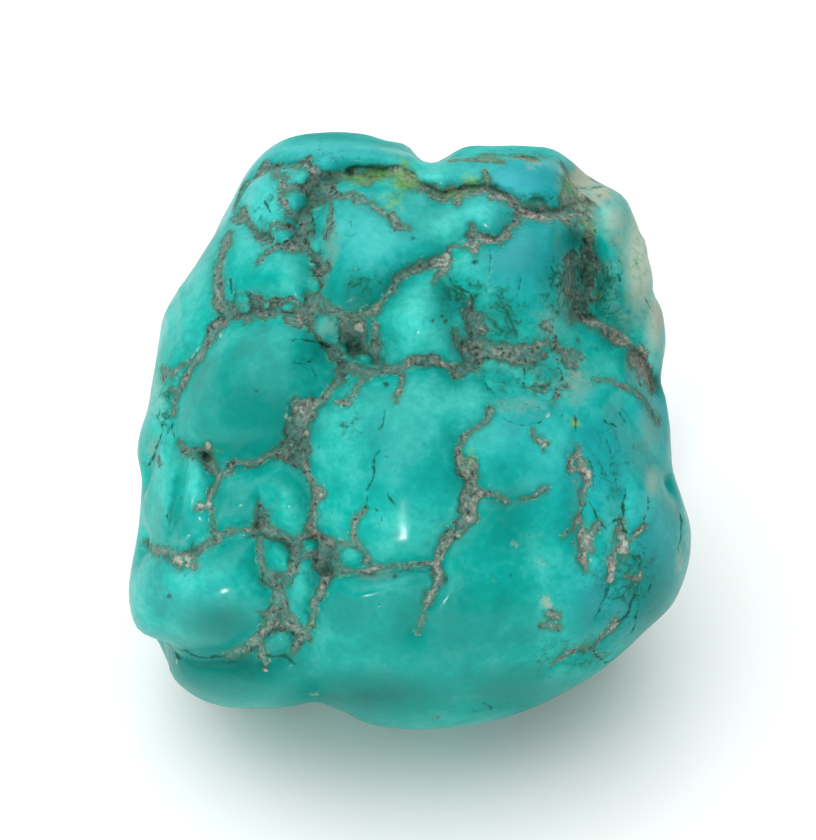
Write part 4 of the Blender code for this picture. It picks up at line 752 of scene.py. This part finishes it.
# where crumbly matrix breaks through the turquoise: right, up, half width, half height, strength
gravelPatches = (
    (-12.0, 25.9, 2.2, 0.8, 0.7), (-7.8, 24.4, 1.5, 1.1, 0.9), (-10.0, 20.2, 1.1, 3.0, 0.95),
    (-13.8, 19.3, 2.8, 0.9, 0.8), (-9.1, 15.4, 1.0, 2.2, 0.85), (-11.0, 11.4, 3.4, 1.6, 0.9),
    (-16.4, 12.6, 3.0, 1.4, 0.9), (-12.6, 12.4, 3.0, 1.0, 0.9), (-17.2, 21.0, 0.9, 0.8, 0.6),
    (-18.9, 14.2, 0.6, 1.6, 0.75), (-5.4, 9.2, 1.4, 2.4, 0.95), (-11.6, 0.0, 1.3, 2.2, 0.7),
    (5.6, 23.9, 2.4, 0.9, 0.8), (12.4, 21.8, 2.8, 1.0, 0.95), (17.2, 20.6, 1.4, 2.4, 0.8),
    (17.8, 24.8, 2.6, 2.0, 0.6), (16.0, 14.4, 1.1, 4.2, 1.0), (19.8, 10.0, 2.0, 0.8, 0.9),
    (11.8, 27.4, 2.2, 0.9, 0.62), (23.2, 6.8, 1.0, 2.2, 0.8), (6.3, 8.4, 1.9, 2.6, 1.0),
    (10.8, 7.6, 3.6, 1.1, 1.0), (14.2, 10.2, 1.3, 2.2, 0.8), (16.0, 6.6, 2.2, 2.2, 0.85),
    (13.6, 4.2, 2.4, 0.8, 0.7), (8.6, 5.2, 2.0, 1.1, 0.7), (-21.4, -2.8, 1.6, 0.7, 0.7),
    (-11.8, -2.0, 1.3, 1.8, 0.8), (-14.8, -9.5, 1.0, 1.1, 0.8), (-20.6, -7.6, 0.8, 0.8, 0.6),
    (-23.4, -12.4, 3.2, 0.9, 0.8), (-12.0, -11.6, 2.4, 1.4, 0.7), (-8.3, -13.0, 1.0, 2.0, 0.85),
    (-13.1, -17.4, 1.2, 3.0, 0.85), (-16.8, -22.2, 1.4, 0.6, 0.7), (-10.2, -20.6, 0.8, 1.0, 0.6),
    (16.8, -4.6, 0.8, 2.6, 0.5), (17.5, -11.6, 0.9, 1.8, 0.8), (20.8, -12.0, 1.1, 1.9, 0.75),
    (13.9, -17.8, 0.9, 1.4, 0.45), (17.5, -21.5, 4.0, 1.0, 0.25), (5.0, -28.4, 4.5, 0.7, 0.45),
    (10.0, 27.9, 4.0, 0.5, 0.5), (-25.2, -2.4, 0.7, 2.4, 0.45),
)


def laidPaths(paths):
    # (places on the body, places as seen, half widths) of each path
    laid = []
    for path in paths:
        points = dense(path, 0.6)
        laid.append((onBody(points[:, :2], 1), points[:, :2], points[:, 2]))
    return laid


laidVeins = laidPaths(matrixVeins)
laidHairlines = laidPaths(hairlines)

# what a user would change on the fine relief, in mm
relief = {
    "inset": 0.05,            # keeps the skin just inside the CAD model's
    "edgeDrop": 0.22,         # how far the turquoise rolls down to the matrix
    "shoulder": 0.8,
    "floorDrop": 0.24,        # how far the matrix lies under that edge
    "pinch": 0.8,             # how unevenly wide the veins are, as a share of their half width
    "grain": 0.075, "grainSize": 0.32,
    "ripple": 0.03, "rippleSize": 1.6,
    "warp": 0.22, "warpSize": 1.5, "fineWarp": 0.07, "fineWarpSize": 0.45,
    "hairlineDrop": 0.06, "hairlineShoulder": 0.3,
    "pitDrop": 0.8, "chipRise": 0.25, "islandRise": 0.6,
    "backCell": 8.8, "backVein": 0.16, "backVeinSpread": 0.7,
}


def backVeinGap(points):
    # distance to the border of the nearest cell, less a half width that comes and goes
    cell = relief["backCell"]
    bent = points + 1.3 * swirl(points, 4.0, 3.7)
    gap = np.empty(len(points))
    for index, point in enumerate(bent):
        distances, sites = noise.voronoi(Vector(point) / cell)
        between = max((sites[1] - sites[0]).length, 1e-6)
        gap[index] = (distances[1] ** 2 - distances[0] ** 2) / (2 * between) * cell
    half = relief["backVein"] + relief["backVeinSpread"] * swell(points, 5.0, 9.1)
    return gap - half, np.clip(half, 0.05, 1.2)


def spotsOn(seen, spots):
    total = np.zeros(len(seen))
    for right, up, halfWidth, halfHeight, strength in spots:
        across = (seen[:, 0] - right) / halfWidth
        along = (seen[:, 1] - up) / halfHeight
        total = np.maximum(total, strength * np.exp(-(across**2 + along**2)))
    return total


def marksOn(points, directions):
    # everything that is drawn on the stone, measured at each point of the plain body
    warp = relief["warp"] * swirl(points, relief["warpSize"]) + relief["fineWarp"] * swirl(
        points, relief["fineWarpSize"], 5.3
    )
    count = len(points)
    bent = points + warp
    seen = asSeen(bent)
    onFace = np.clip((directions[:, 2] - 0.12) / 0.14, 0, 1)
    gaps = {}
    for name, laid in (("vein", laidVeins), ("hairline", laidHairlines)):
        flatGap, flatWidth = np.full(count, 4.0), np.zeros(count)
        roundGap, roundWidth = np.full(count, 4.0), np.zeros(count)
        for places, marks, halfWidths in laid:
            gapToPath(seen, marks, halfWidths, flatGap, flatWidth)
            gapToPath(bent, places, halfWidths, roundGap, roundWidth)
        gaps[name] = roundGap + (flatGap - roundGap) * onFace
        gaps[name + "Width"] = roundWidth + (flatWidth - roundWidth) * onFace
    # veins swell and pinch along their way, and thin ones break up
    uneven = relief["pinch"] * (swell(points, 1.6, 11.3) + 0.6 * swell(points, 0.7, 12.4))
    gaps["vein"] += gaps["veinWidth"] * uneven
    hidden = directions[:, 2] <= 0
    island = np.full(count, 9.0)
    gaps["islandDome"] = np.zeros(count)
    for right, up, halfWidth, halfHeight, turn in islands:
        turned = math.radians(turn)
        dx, dy = seen[:, 0] - right, seen[:, 1] - up
        across = (dx * math.cos(turned) + dy * math.sin(turned)) / halfWidth
        along = (dy * math.cos(turned) - dx * math.sin(turned)) / halfHeight
        size = min(halfWidth, halfHeight)
        island = np.minimum(island, np.where(hidden, 9.0, (np.hypot(across, along) - 1) * size))
        dome = size * np.sqrt(np.clip(1 - across**2 - along**2, 0, 1))
        gaps["islandDome"] = np.maximum(gaps["islandDome"], np.where(hidden, 0.0, dome))
    gravel = spotsOn(seen, gravelPatches) * (1 - hidden)
    gaps["loose"] = gravel * np.clip(0.6 + island, 0.1, 1)
    lumpy = 1.5 * swell(points, 1.7, 14.2) + 0.9 * swell(points, 0.7, 15.4)
    crumbly = 2.2 - 3.2 * gravel + lumpy
    fromGravel = crumbly < gaps["vein"]
    gaps["vein"] = np.where(fromGravel, crumbly, gaps["vein"])
    gaps["veinWidth"] = np.where(fromGravel, np.maximum(gaps["veinWidth"], 0.5), gaps["veinWidth"])
    gaps["vein"] = np.maximum(gaps["vein"], -island)
    backGap, backWidth = backVeinGap(points)
    backGap += 2.5 * np.clip((directions[:, 2] + 0.04) / 0.18, 0, 1)
    fromBack = backGap < gaps["vein"]
    gaps["vein"] = np.where(fromBack, backGap, gaps["vein"])
    gaps["veinWidth"] = np.where(fromBack, backWidth, gaps["veinWidth"])
    for name, spots in (("pit", darkPits), ("chip", paleChips)):
        inside, deep = np.full(count, 9.0), np.zeros(count)
        for right, up, radius in spots:
            away = np.hypot(seen[:, 0] - right, seen[:, 1] - up) / radius
            inside = np.minimum(inside, away)
            deep = np.maximum(deep, radius * np.clip(1.4 - away, 0, 1))
        gaps[name] = np.where(hidden, 9.0, inside)
        gaps[name + "Size"] = np.where(hidden, 0.0, deep)
    return gaps


def tintsOn(points, directions):
    seen = asSeen(points)
    hidden = np.clip(-directions[:, 2] / 0.2, 0, 1)
    found = {}
    for index, (name, spots) in enumerate(tints.items()):
        total = spotsOn(seen, spots)
        behind = hiddenTints[name] * np.clip(1.6 * swell(points, 7.0, 20.0 + index) - 0.15, 0, 1)
        found[name] = total * (1 - hidden) + behind * hidden
    return found


def fineRelief(points, directions, gaps):
    strength = 0.05 + 0.95 * np.clip(gaps["veinWidth"] / 0.7, 0, 1) ** 1.2
    outside = np.clip(gaps["vein"] / (relief["shoulder"] * (0.5 + strength / 2)), 0, 1)
    inside = np.clip(-gaps["vein"] / 0.3, 0, 1)
    edge = relief["edgeDrop"] * strength * (1 - np.sqrt(1 - (1 - outside) ** 2))
    floor = relief["floorDrop"] * strength * inside
    grain = relief["grain"] * (
        swell(points, relief["grainSize"], 1.1) + 0.6 * swell(points, relief["grainSize"] * 0.45, 2.2)
    )
    ripple = relief["ripple"] * swell(points, relief["rippleSize"], 6.1)
    crack = relief["hairlineDrop"] * (1 - np.clip(gaps["hairline"] / relief["hairlineShoulder"], 0, 1)) ** 2
    pit = relief["pitDrop"] * gaps["pitSize"]
    chip = relief["chipRise"] * gaps["chipSize"]
    rim = np.exp(-((points[:, 2] / 3) ** 2))
    drop = (edge + floor) * (1 - 0.5 * rim) + crack + pit
    raised = ripple * (1 - inside) + chip + relief["islandRise"] * gaps["islandDome"]
    return grain * inside + raised - drop - relief["inset"]


def broadRelief(points):
    rim = np.exp(-((points[:, 2] / 4) ** 2))
    waves = body["waviness"] * swell(points, body["waveLength"])
    return noduleHeight(points) - valleyDepth(points) * (1 - body["rimRelief"] * rim) + waves * (1 - rim)


# ---- the stone's mesh: a cube blown up to a ball, finer where matrix, edges and cracks need it
meshing = {
    "quadsPerSide": 60, "faceCrowding": 0.25,        # the smaller quads lie toward the face
    "finerPasses": 2, "nearEdge": 0.34, "finestFrom": -0.1,
}


def roundCube(quadsPerSide):
    mesh = bmesh.new()
    bmesh.ops.create_cube(mesh, size=2)
    bmesh.ops.subdivide_edges(mesh, edges=mesh.edges, cuts=quadsPerSide - 1, use_grid_fill=True)
    for vert in mesh.verts:
        evenly = Vector([math.tan(side * math.pi / 4) for side in vert.co]).normalized()
        vert.co = (evenly + Vector((0, 0, meshing["faceCrowding"]))).normalized()
    return mesh


def makeFiner(mesh, nearEdge, hiddenToo):
    directions = np.array([vert.co[:] for vert in mesh.verts])
    points = plainBody(directions)
    gaps = marksOn(points, directions)
    onEdge = np.abs(gaps["vein"] + 0.05) < nearEdge
    onCrack = gaps["hairline"] < nearEdge
    inMatrix = gaps["vein"] < 0
    wanted = onEdge | onCrack | inMatrix | (gaps["pit"] < 1.6)
    if not hiddenToo:
        wanted &= directions[:, 2] > meshing["finestFrom"]
    # edges are taken in the mesh's own order, so each run cuts them alike
    mesh.faces.index_update()
    picked = [any(wanted[vert.index] for vert in face.verts) for face in mesh.faces]
    edges = [edge for edge in mesh.edges if any(picked[face.index] for face in edge.link_faces)]
    bmesh.ops.subdivide_edges(mesh, edges=edges, cuts=1, use_grid_fill=True)
    for vert in mesh.verts:
        vert.co.normalize()
    mesh.verts.index_update()


def buildStone():
    mesh = roundCube(meshing["quadsPerSide"])
    for step in range(meshing["finerPasses"]):
        makeFiner(mesh, meshing["nearEdge"] / (step + 1), step == 0)
        print("finer mesh", step + 1, len(mesh.verts), "points")
    bmesh.ops.triangulate(mesh, faces=mesh.faces)
    directions = np.array([vert.co[:] for vert in mesh.verts])
    points = plainBody(directions)
    gaps = marksOn(points, directions)
    height = broadRelief(points) + fineRelief(points, directions, gaps)
    placed = standUp(points + height[:, None] * outward(points, directions))
    # the worn underside: everything under the floor level is ground off
    placed[:, 2] = np.maximum(placed[:, 2], 0)
    for vert, place in zip(mesh.verts, placed):
        vert.co = place * mm
    bmesh.ops.recalc_face_normals(mesh, faces=mesh.faces)
    data = bpy.data.meshes.new("turquoiseNugget")
    mesh.to_mesh(data)
    mesh.free()
    data.shade_smooth()
    stone = bpy.data.objects.new("nuggetStone", data)
    bpy.context.scene.collection.objects.link(stone)
    layers = {
        "veinGap": gaps["vein"], "hairlineGap": gaps["hairline"], "pitGap": gaps["pit"],
        "chipGap": gaps["chip"], "loose": gaps["loose"], **tintsOn(points, directions),
    }
    for name, values in layers.items():
        layer = data.attributes.new(name, "FLOAT", "POINT")
        layer.data.foreach_set("value", np.clip(values, -4, 4).astype(np.float32))
    print("stone", len(data.vertices), "points", len(data.polygons), "triangles")
    return stone


# ---- materials
def hexToLinear(code):
    channels = [int(code[start:start + 2], 16) / 255 for start in (1, 3, 5)]
    return tuple(c / 12.92 if c < 0.04045 else ((c + 0.055) / 1.055) ** 2.4 for c in channels) + (1.0,)


def addNode(tree, kind, inputs=(), output=0, stops=(), **settings):
    # adds one node and returns an output; each input is a value, a colour's code or another node's output
    node = tree.nodes.new("ShaderNode" + kind)
    for name, value in settings.items():
        setattr(node, name, value)
    for name, item in dict(inputs if isinstance(inputs, dict) else enumerate(inputs)).items():
        if isinstance(item, bpy.types.NodeSocket):
            tree.links.new(item, node.inputs[name])
        else:
            node.inputs[name].default_value = hexToLinear(item) if isinstance(item, str) else item
    if stops:
        elements = node.color_ramp.elements
        for _ in stops[2:]:
            elements.new(1.0)
        for element, (position, code) in zip(elements, stops):
            element.position = position
            element.color = hexToLinear(code)
    return node.outputs[output]


# settings of the nodes that come up again and again
smooth = {"interpolation_type": "SMOOTHSTEP"}
plus, minus, times, timesPlus, larger = (
    {"operation": name} for name in ("ADD", "SUBTRACT", "MULTIPLY", "MULTIPLY_ADD", "MAXIMUM")
)


def layColours(tree, colour, layers):
    # lays each layer's colour on the ones before: the colour, how strong, and where given a pattern
    # that breaks it up, with the values between which it comes in and the strengths there
    for over, amount, *cut in layers:
        if cut:
            pattern = addNode(tree, "MapRange", cut, **smooth)
            amount = addNode(tree, "Math", (amount, pattern), **times)
        colour = addNode(tree, "Mix", {0: amount, 6: colour, 7: over}, 2, data_type="RGBA")
    return colour


turquoiseLook = {
    # the turquoise itself; its depth colour is partly painted shade, its pale colour partly a painted sheen
    "deep": "#048a80", "middle": "#08a095", "light": "#3bb3a9", "depth": "#005d55", "paleAndSheen": "#4ccbbf",
    "blue": "#2699aa", "olive": "#74aa56", "chalk": "#c3cfbc", "greenChalk": "#8fb598", "dull": "#619a90",
    "tan": "#a9aa95", "stain": "#586844",
    # what lies along its edges and cracks; the pale rim colour is a painted sheen on the rolled edge
    "halo": "#176b5a", "paleRim": "#9fd6bd", "crack": "#1a4a3c", "veinlet": "#0e4c3e",
    # the matrix
    "matrixDark": "#333c36", "matrixMiddle": "#5e6f66", "matrixPink": "#8a8b82", "matrixLight": "#bcbcaf",
    "matrixTeal": "#478a7f", "shadowed": "#2b4a41", "rust": "#8d6650",
    # gloss: the bare stone and its wax
    "polishedRoughness": 0.4, "wornRoughness": 0.3, "matrixRoughness": 0.8, "specular": 0.05, "ior": 1.61,
    "wax": 0.26, "waxLost": 0.4, "waxRoughness": 0.18, "waxIor": 1.45,
    "grainHeight": 0.00008, "skinHeight": 0.00002, "skinStrength": 0.6,
    # how far two noises push the others about: scale per mm, detail, distance in mm
    "pushed": {"bent": (1.3, 2.0, 1.6), "twisted": (1.3, 3.0, 0.6)},
    # noises: which place they are read at, scale per mm, detail, roughness
    "noises": {
        "clouds": ("plain", 0.22, 4.0, 0.6), "mottle": ("plain", 1.3, 5.0, 0.6),
        "grains": ("plain", 2.3, 3.0, 0.6), "streaks": ("bent", 0.8, 7.0, 0.72),
        "veinlets": ("twisted", 0.3, 1.0, 0.6), "fineVeinlets": ("twisted", 0.75, 1.0, 0.6),
    },
    "freckleScale": 0.7, "sparkScale": 1.3, "veinletWidth": 0.03,
    # bands along the edge of the matrix, in mm out from it: where each starts and is full, how strong
    "bands": {
        "matrix": (0.09, -0.09), "bleached": (1.1, 0.0, 0.0, 0.75), "haloed": (0.75, 0.0, 0.0, 0.65),
        "stained": (0.28, 0.0, 0.0, 0.75), "worn": (0.3, 0.0, 0.0, 0.35), "rough": (0.3, 0.05),
        # the band 0.3 mm out from the matrix that takes the pale rim colour is a painted sheen on the
        # polished rolled edge
        "contact": (-0.3, -0.05, 0.0, 0.45),
    },
}


def tumbledTurquoise():
    # turquoise, tumbled and waxed: a smooth glossy skin on the nodules, and in the veins between them
    # sandy limonite matrix that the tumbling grit wore down and left rough
    look = turquoiseLook
    material = bpy.data.materials.new("tumbledTurquoise")
    material.use_nodes = True
    tree = material.node_tree
    shader = tree.nodes["Principled BSDF"]
    names = ("veinGap", "hairlineGap", "pitGap", "chipGap", "loose", *tints)
    on = {name: addNode(tree, "Attribute", output="Fac", attribute_name=name) for name in names}

    # the noises, read at places in mm, some of them pushed about
    own = addNode(tree, "TexCoord", output="Object")
    places = {"plain": addNode(tree, "Mapping", {"Vector": own, "Scale": (1000, 1000, 1000)})}
    for name, (scale, detail, distance) in look["pushed"].items():
        noiseInputs = {"Vector": places["plain"], "Scale": scale, "Detail": detail, "Roughness": 0.6}
        push = addNode(tree, "TexNoise", noiseInputs, "Color")
        places[name] = addNode(tree, "VectorMath", (push, (distance,) * 3, places["plain"]), **timesPlus)
    noises = {}
    for name, (place, scale, detail, roughness) in look["noises"].items():
        noiseInputs = {"Vector": places[place], "Scale": scale, "Detail": detail, "Roughness": roughness}
        noises[name] = addNode(tree, "TexNoise", noiseInputs)
    clouds, mottle, grains, streaks = (noises[name] for name in ("clouds", "mottle", "grains", "streaks"))

    # body colour: soft clouds of deeper and paler turquoise with a finer mottle on top
    shade = addNode(tree, "Math", (mottle, 0.3, clouds), **timesPlus)
    shades = ((0.46, look["deep"]), (0.65, look["middle"]), (0.84, look["light"]))
    skin = addNode(tree, "ValToRGB", (shade,), stops=shades)

    # tints come in as patches with ragged edges, not as an even wash
    ragged = addNode(tree, "Math", (mottle, 0.7), **times)
    ragged = addNode(tree, "Math", (grains, 0.3, ragged), **timesPlus)
    gritted = addNode(tree, "Math", (streaks, 0.6), **times)
    gritted = addNode(tree, "Math", (grains, 0.4, gritted), **timesPlus)
    washed = addNode(tree, "Math", (mottle, 0.7, on["chalk"]), **timesPlus)
    greener = (look["greenChalk"], 1.0, mottle, 0.44, 0.62, 0.0, 0.75)
    chalk = layColours(tree, look["chalk"], (greener,))
    patches = []
    for name, ground in (("dull", gritted), ("tan", streaks), ("olive", ragged)):
        patchy = addNode(tree, "Math", (on[name], 0.55, ground), **timesPlus)
        patches.append((look[name], 1.0, patchy, 0.64, 0.96, 0.0, 0.88))

    # fine dark veinlets: thin bent contours that come and go, each in a wider smudge
    comeAndGo = addNode(tree, "Math", (on["veinlets"], 0.42, streaks), **timesPlus)
    comeAndGo = addNode(tree, "MapRange", (comeAndGo, 0.6, 0.86), **smooth)
    thin = look["veinletWidth"]
    lines = {"veinlet": (thin, thin / 6, 0.0, 0.75), "smudge": (5 * thin, 0.0, 0.0, 0.95)}
    drawn = dict.fromkeys(lines, 0.0)
    for contour in (noises["veinlets"], noises["fineVeinlets"]):
        offLine = addNode(tree, "Math", (contour, 0.5), **minus)
        offLine = addNode(tree, "Math", (offLine,), operation="ABSOLUTE")
        for name, limits in lines.items():
            line = addNode(tree, "MapRange", (offLine, *limits), **smooth)
            drawn[name] = addNode(tree, "Math", (line, drawn[name]), **larger)
    for name in lines:
        drawn[name] = addNode(tree, "Math", (drawn[name], comeAndGo), **times)

    # freckles, in the paler clouds and on the chalk
    dots = addNode(tree, "TexVoronoi", {"Vector": places["bent"], "Scale": look["freckleScale"]})
    dots = addNode(tree, "MapRange", (dots, 0.13, 0.05, 0.0, 0.6), **smooth)
    paler = addNode(tree, "MapRange", (clouds, 0.45, 0.6), **smooth)
    paler = addNode(tree, "Math", (paler, on["chalk"]), **larger)
    freckled = addNode(tree, "Math", (dots, paler), **times)
    lined = addNode(tree, "Math", (drawn["veinlet"], freckled), **larger)

    # where the matrix starts, frayed by its grains, and the bands along it: bleaching, darker rims, stain
    # and a painted pale sheen on the rolled edge
    frayed = 0.0
    for pattern, whenLoose, always in ((mottle, 3.0, 1.3), (grains, 1.8, 0.7)):
        swing = addNode(tree, "Math", (pattern, 0.5), **minus)
        reach = addNode(tree, "Math", (on["loose"], whenLoose, always), **timesPlus)
        frayed = addNode(tree, "Math", (swing, reach, frayed), **timesPlus)
    edge = addNode(tree, "Math", (on["veinGap"], frayed), **plus)
    band = {name: addNode(tree, "MapRange", (edge, *limits), **smooth)
            for name, limits in look["bands"].items()}
    bleached = addNode(tree, "Math", (band["bleached"], on["loose"]), **times)

    colour = layColours(tree, skin, (
        (look["blue"], on["blue"]),
        # deeper turquoise, partly painted shade low on the stone and in hollows
        (look["depth"], on["depth"], clouds, 0.3, 0.65, 0.7, 1.0),
        # paler turquoise, partly a painted sheen on lit lobe tops
        (look["paleAndSheen"], on["paleAndSheen"], mottle, 0.3, 0.65, 0.45, 0.85),
        # painted shade in the halo colour over pits, valleys and the groove
        (look["halo"], on["paintedShade"], mottle, 0.4, 0.6, 0.1, 0.8),
        (chalk, 1.0, washed, 0.45, 1.3, 0.0, 0.85),
        *patches,
        (look["stain"], on["olive"], grains, 0.54, 0.68, 0.0, 0.85),
        (look["halo"], drawn["smudge"]),
        (look["veinlet"], lined),
        (look["dull"], bleached, streaks, 0.35, 0.55),
        (look["halo"], band["haloed"], mottle, 0.4, 0.58, 0.25, 1.0),
        (look["stain"], band["stained"], streaks, 0.42, 0.58),
        # painted pale sheen along the rolled edge beside the matrix
        (look["paleRim"], band["worn"], mottle, 0.46, 0.36),
    ))

    # matrix: dark, middle and light grains, cleaner by place or darkened there by painted shade, with crumbs
    # of turquoise
    tone = addNode(tree, "MapRange", (grains, 0.32, 0.68), **smooth)
    tone = addNode(tree, "Math", (tone, 0.34), **times)
    for part, share in ((mottle, 0.8), (on["sand"], 0.22), (on["paintedShade"], -0.16)):
        tone = addNode(tree, "Math", (part, share, tone), **timesPlus)
    tones = ((0.36, look["matrixDark"]), (0.52, look["matrixMiddle"]),
             (0.7, look["matrixPink"]), (0.88, look["matrixLight"]))
    sand = addNode(tree, "ValToRGB", (tone,), stops=tones)
    clean = addNode(tree, "Math", (on["sand"], 0.7), **times)
    clean = addNode(tree, "Math", (on["rust"], clean), **larger)
    clean = addNode(tree, "Math", (1.0, clean), **minus)
    # painted shade that darkens the matrix in pits, valleys and the groove
    paintedShadeInMatrix = addNode(tree, "Math", (on["paintedShade"], 0.7), **times)
    sparks = addNode(tree, "TexVoronoi", {"Vector": places["plain"], "Scale": look["sparkScale"]})
    matrix = layColours(tree, sand, (
        (look["rust"], on["rust"], mottle, 0.4, 0.6),
        (look["matrixTeal"], clean, streaks, 0.42, 0.6, 0.0, 0.75),
        (look["shadowed"], paintedShadeInMatrix),
        (look["olive"], on["olive"], streaks, 0.4, 0.55, 0.2, 0.95),
        (look["matrixDark"], band["contact"], streaks, 0.48, 0.6),
        (look["matrixLight"], on["sand"], sparks, 0.24, 0.12, 0.0, 0.85),
    ))

    # cracks and pits are darker, with grit in the pits, and chips paler
    inCrack = addNode(tree, "Math", (frayed, 0.35, on["hairlineGap"]), **timesPlus)
    inCrack = addNode(tree, "MapRange", (inCrack, 0.05, -0.08, 0.0, 0.9), **smooth)
    comesUp = addNode(tree, "MapRange", (streaks, 0.34, 0.52, 0.25, 1.0), **smooth)
    inCrack = addNode(tree, "Math", (inCrack, comesUp), **times)
    inPit = addNode(tree, "Math", (mottle, 2.4, on["pitGap"]), **timesPlus)
    inPit = addNode(tree, "MapRange", (inPit, 2.6, 1.5, 0.0, 0.85), **smooth)
    dark = addNode(tree, "Math", (inCrack, inPit), **larger)
    grit = (look["matrixMiddle"], inPit, grains, 0.42, 0.62, 0.0, 0.6)
    darkColour = layColours(tree, look["crack"], (grit,))
    chipped = addNode(tree, "Math", (mottle, 2.0, on["chipGap"]), **timesPlus)
    colour = layColours(tree, colour, (
        (matrix, band["matrix"]),
        (darkColour, dark),
        (look["matrixLight"], 1.0, chipped, 2.1, 1.6, 0.0, 0.5),
    ))

    # roughness and wax: glossy on the polished skin, duller where it is worn, none in the matrix
    worked = on["dull"]
    for name in ("veinlets", "tan", "matt"):
        worked = addNode(tree, "Math", (worked, on[name]), **larger)
    skinRough = (worked, look["wornRoughness"], look["polishedRoughness"])
    skinRough = addNode(tree, "Math", skinRough, **timesPlus)
    rough = addNode(tree, "Math", (band["rough"], dark), **larger)
    roughness = addNode(tree, "Mix", {0: rough, 2: skinRough, 3: look["matrixRoughness"]}, data_type="FLOAT")
    unwaxed = addNode(tree, "Math", (rough, worked), **larger)
    unwaxed = addNode(tree, "Math", (unwaxed, look["waxLost"]), **times)
    waxed = addNode(tree, "Math", (look["wax"], unwaxed), use_clamp=True, **minus)

    # grain that is too fine for the mesh
    bump = addNode(tree, "Bump", {"Distance": look["grainHeight"], "Height": grains, "Strength": rough})
    bump = addNode(tree, "Bump", {"Distance": look["skinHeight"], "Height": mottle,
                                  "Strength": look["skinStrength"], "Normal": bump})

    for name, item in (("Base Color", colour), ("Roughness", roughness), ("Coat Weight", waxed),
                       ("Normal", bump)):
        tree.links.new(item, shader.inputs[name])
    for name, value in (("Specular IOR Level", look["specular"]), ("IOR", look["ior"]),
                        ("Coat Roughness", look["waxRoughness"]), ("Coat IOR", look["waxIor"])):
        shader.inputs[name].default_value = value
    return material


floorLook = {"paper": "#f4f4f3", "roughness": 0.9, "side": 4}


def plainFloor():
    # matt white paper: even and pale, no gloss
    material = bpy.data.materials.new("mattPaper")
    material.use_nodes = True
    shader = material.node_tree.nodes["Principled BSDF"]
    shader.inputs["Base Color"].default_value = hexToLinear(floorLook["paper"])
    shader.inputs["Roughness"].default_value = floorLook["roughness"]
    bpy.ops.mesh.primitive_plane_add(size=floorLook["side"])
    floor = bpy.context.object
    floor.name = "paperFloor"
    floor.data.materials.append(material)
    return floor


# ---- camera and light
cameraSet = {"picture": (816, 840), "sensor": 36.0, "pixelsPerMm": 10.0}
lighting = {
    # a big soft ceiling, brightest up and behind to the left, falling off to a dim room at the horizon
    "ceiling": {"colour": "#f6f8f9", "bright": 2.75, "dim": 0.16, "toward": (-0.22, 0.34, 0.91),
                "from": 0.38},
    # one small lamp low in front, for the sharp glints
    "key": {"energy": 2.5, "size": 0.08, "place": (-0.12, -0.61, 0.15), "aim": (0, 0, 0.025)},
}


def toScene(faceRight, faceUp, faceToward):
    return Vector(standUp(np.array([[faceRight, faceUp, faceToward]]))[0] * mm)


def pointAt(thing, target):
    thing.rotation_mode = "QUATERNION"
    thing.rotation_quaternion = (target - thing.location).to_track_quat("-Z", "Y")


def addCamera():
    data = bpy.data.cameras.new("studioCamera")
    camera = bpy.data.objects.new("studioCamera", data)
    bpy.context.scene.collection.objects.link(camera)
    camera.location = toScene(*stance["eyePoint"], stance["eyeDistance"])
    pointAt(camera, toScene(*stance["eyePoint"], 0))
    longSide = max(cameraSet["picture"]) / cameraSet["pixelsPerMm"]
    data.sensor_width = cameraSet["sensor"]
    data.lens = cameraSet["sensor"] * stance["eyeDistance"] / longSide
    data.clip_start = 0.01
    data.clip_end = 20
    bpy.context.scene.camera = camera


def addLights():
    ceiling, key = lighting["ceiling"], lighting["key"]
    world = bpy.data.worlds.new("softCeiling")
    world.use_nodes = True
    tree = world.node_tree
    direction = addNode(tree, "TexCoord", output="Generated")
    toward = Vector(ceiling["toward"]).normalized()
    height = addNode(tree, "VectorMath", (direction, toward), "Value", operation="DOT_PRODUCT")
    strength = addNode(tree, "MapRange", (height, ceiling["from"], 1.0, ceiling["dim"], ceiling["bright"]),
                       **smooth)
    background = tree.nodes["Background"]
    background.inputs["Color"].default_value = hexToLinear(ceiling["colour"])
    tree.links.new(strength, background.inputs["Strength"])
    bpy.context.scene.world = world
    data = bpy.data.lights.new("keyLamp", "AREA")
    data.shape = "DISK"
    data.size = key["size"]
    data.energy = key["energy"]
    light = bpy.data.objects.new("keyLamp", data)
    bpy.context.scene.collection.objects.link(light)
    light.location = key["place"]
    pointAt(light, Vector(key["aim"]))


print("camera and light")
addCamera()
addLights()
plainFloor()
bpy.context.scene.view_settings.view_transform = "Standard"

print("stone")
stone = buildStone()
stone.data.materials.append(tumbledTurquoise())
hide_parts("turquoise_nugget")
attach(stone, "root")
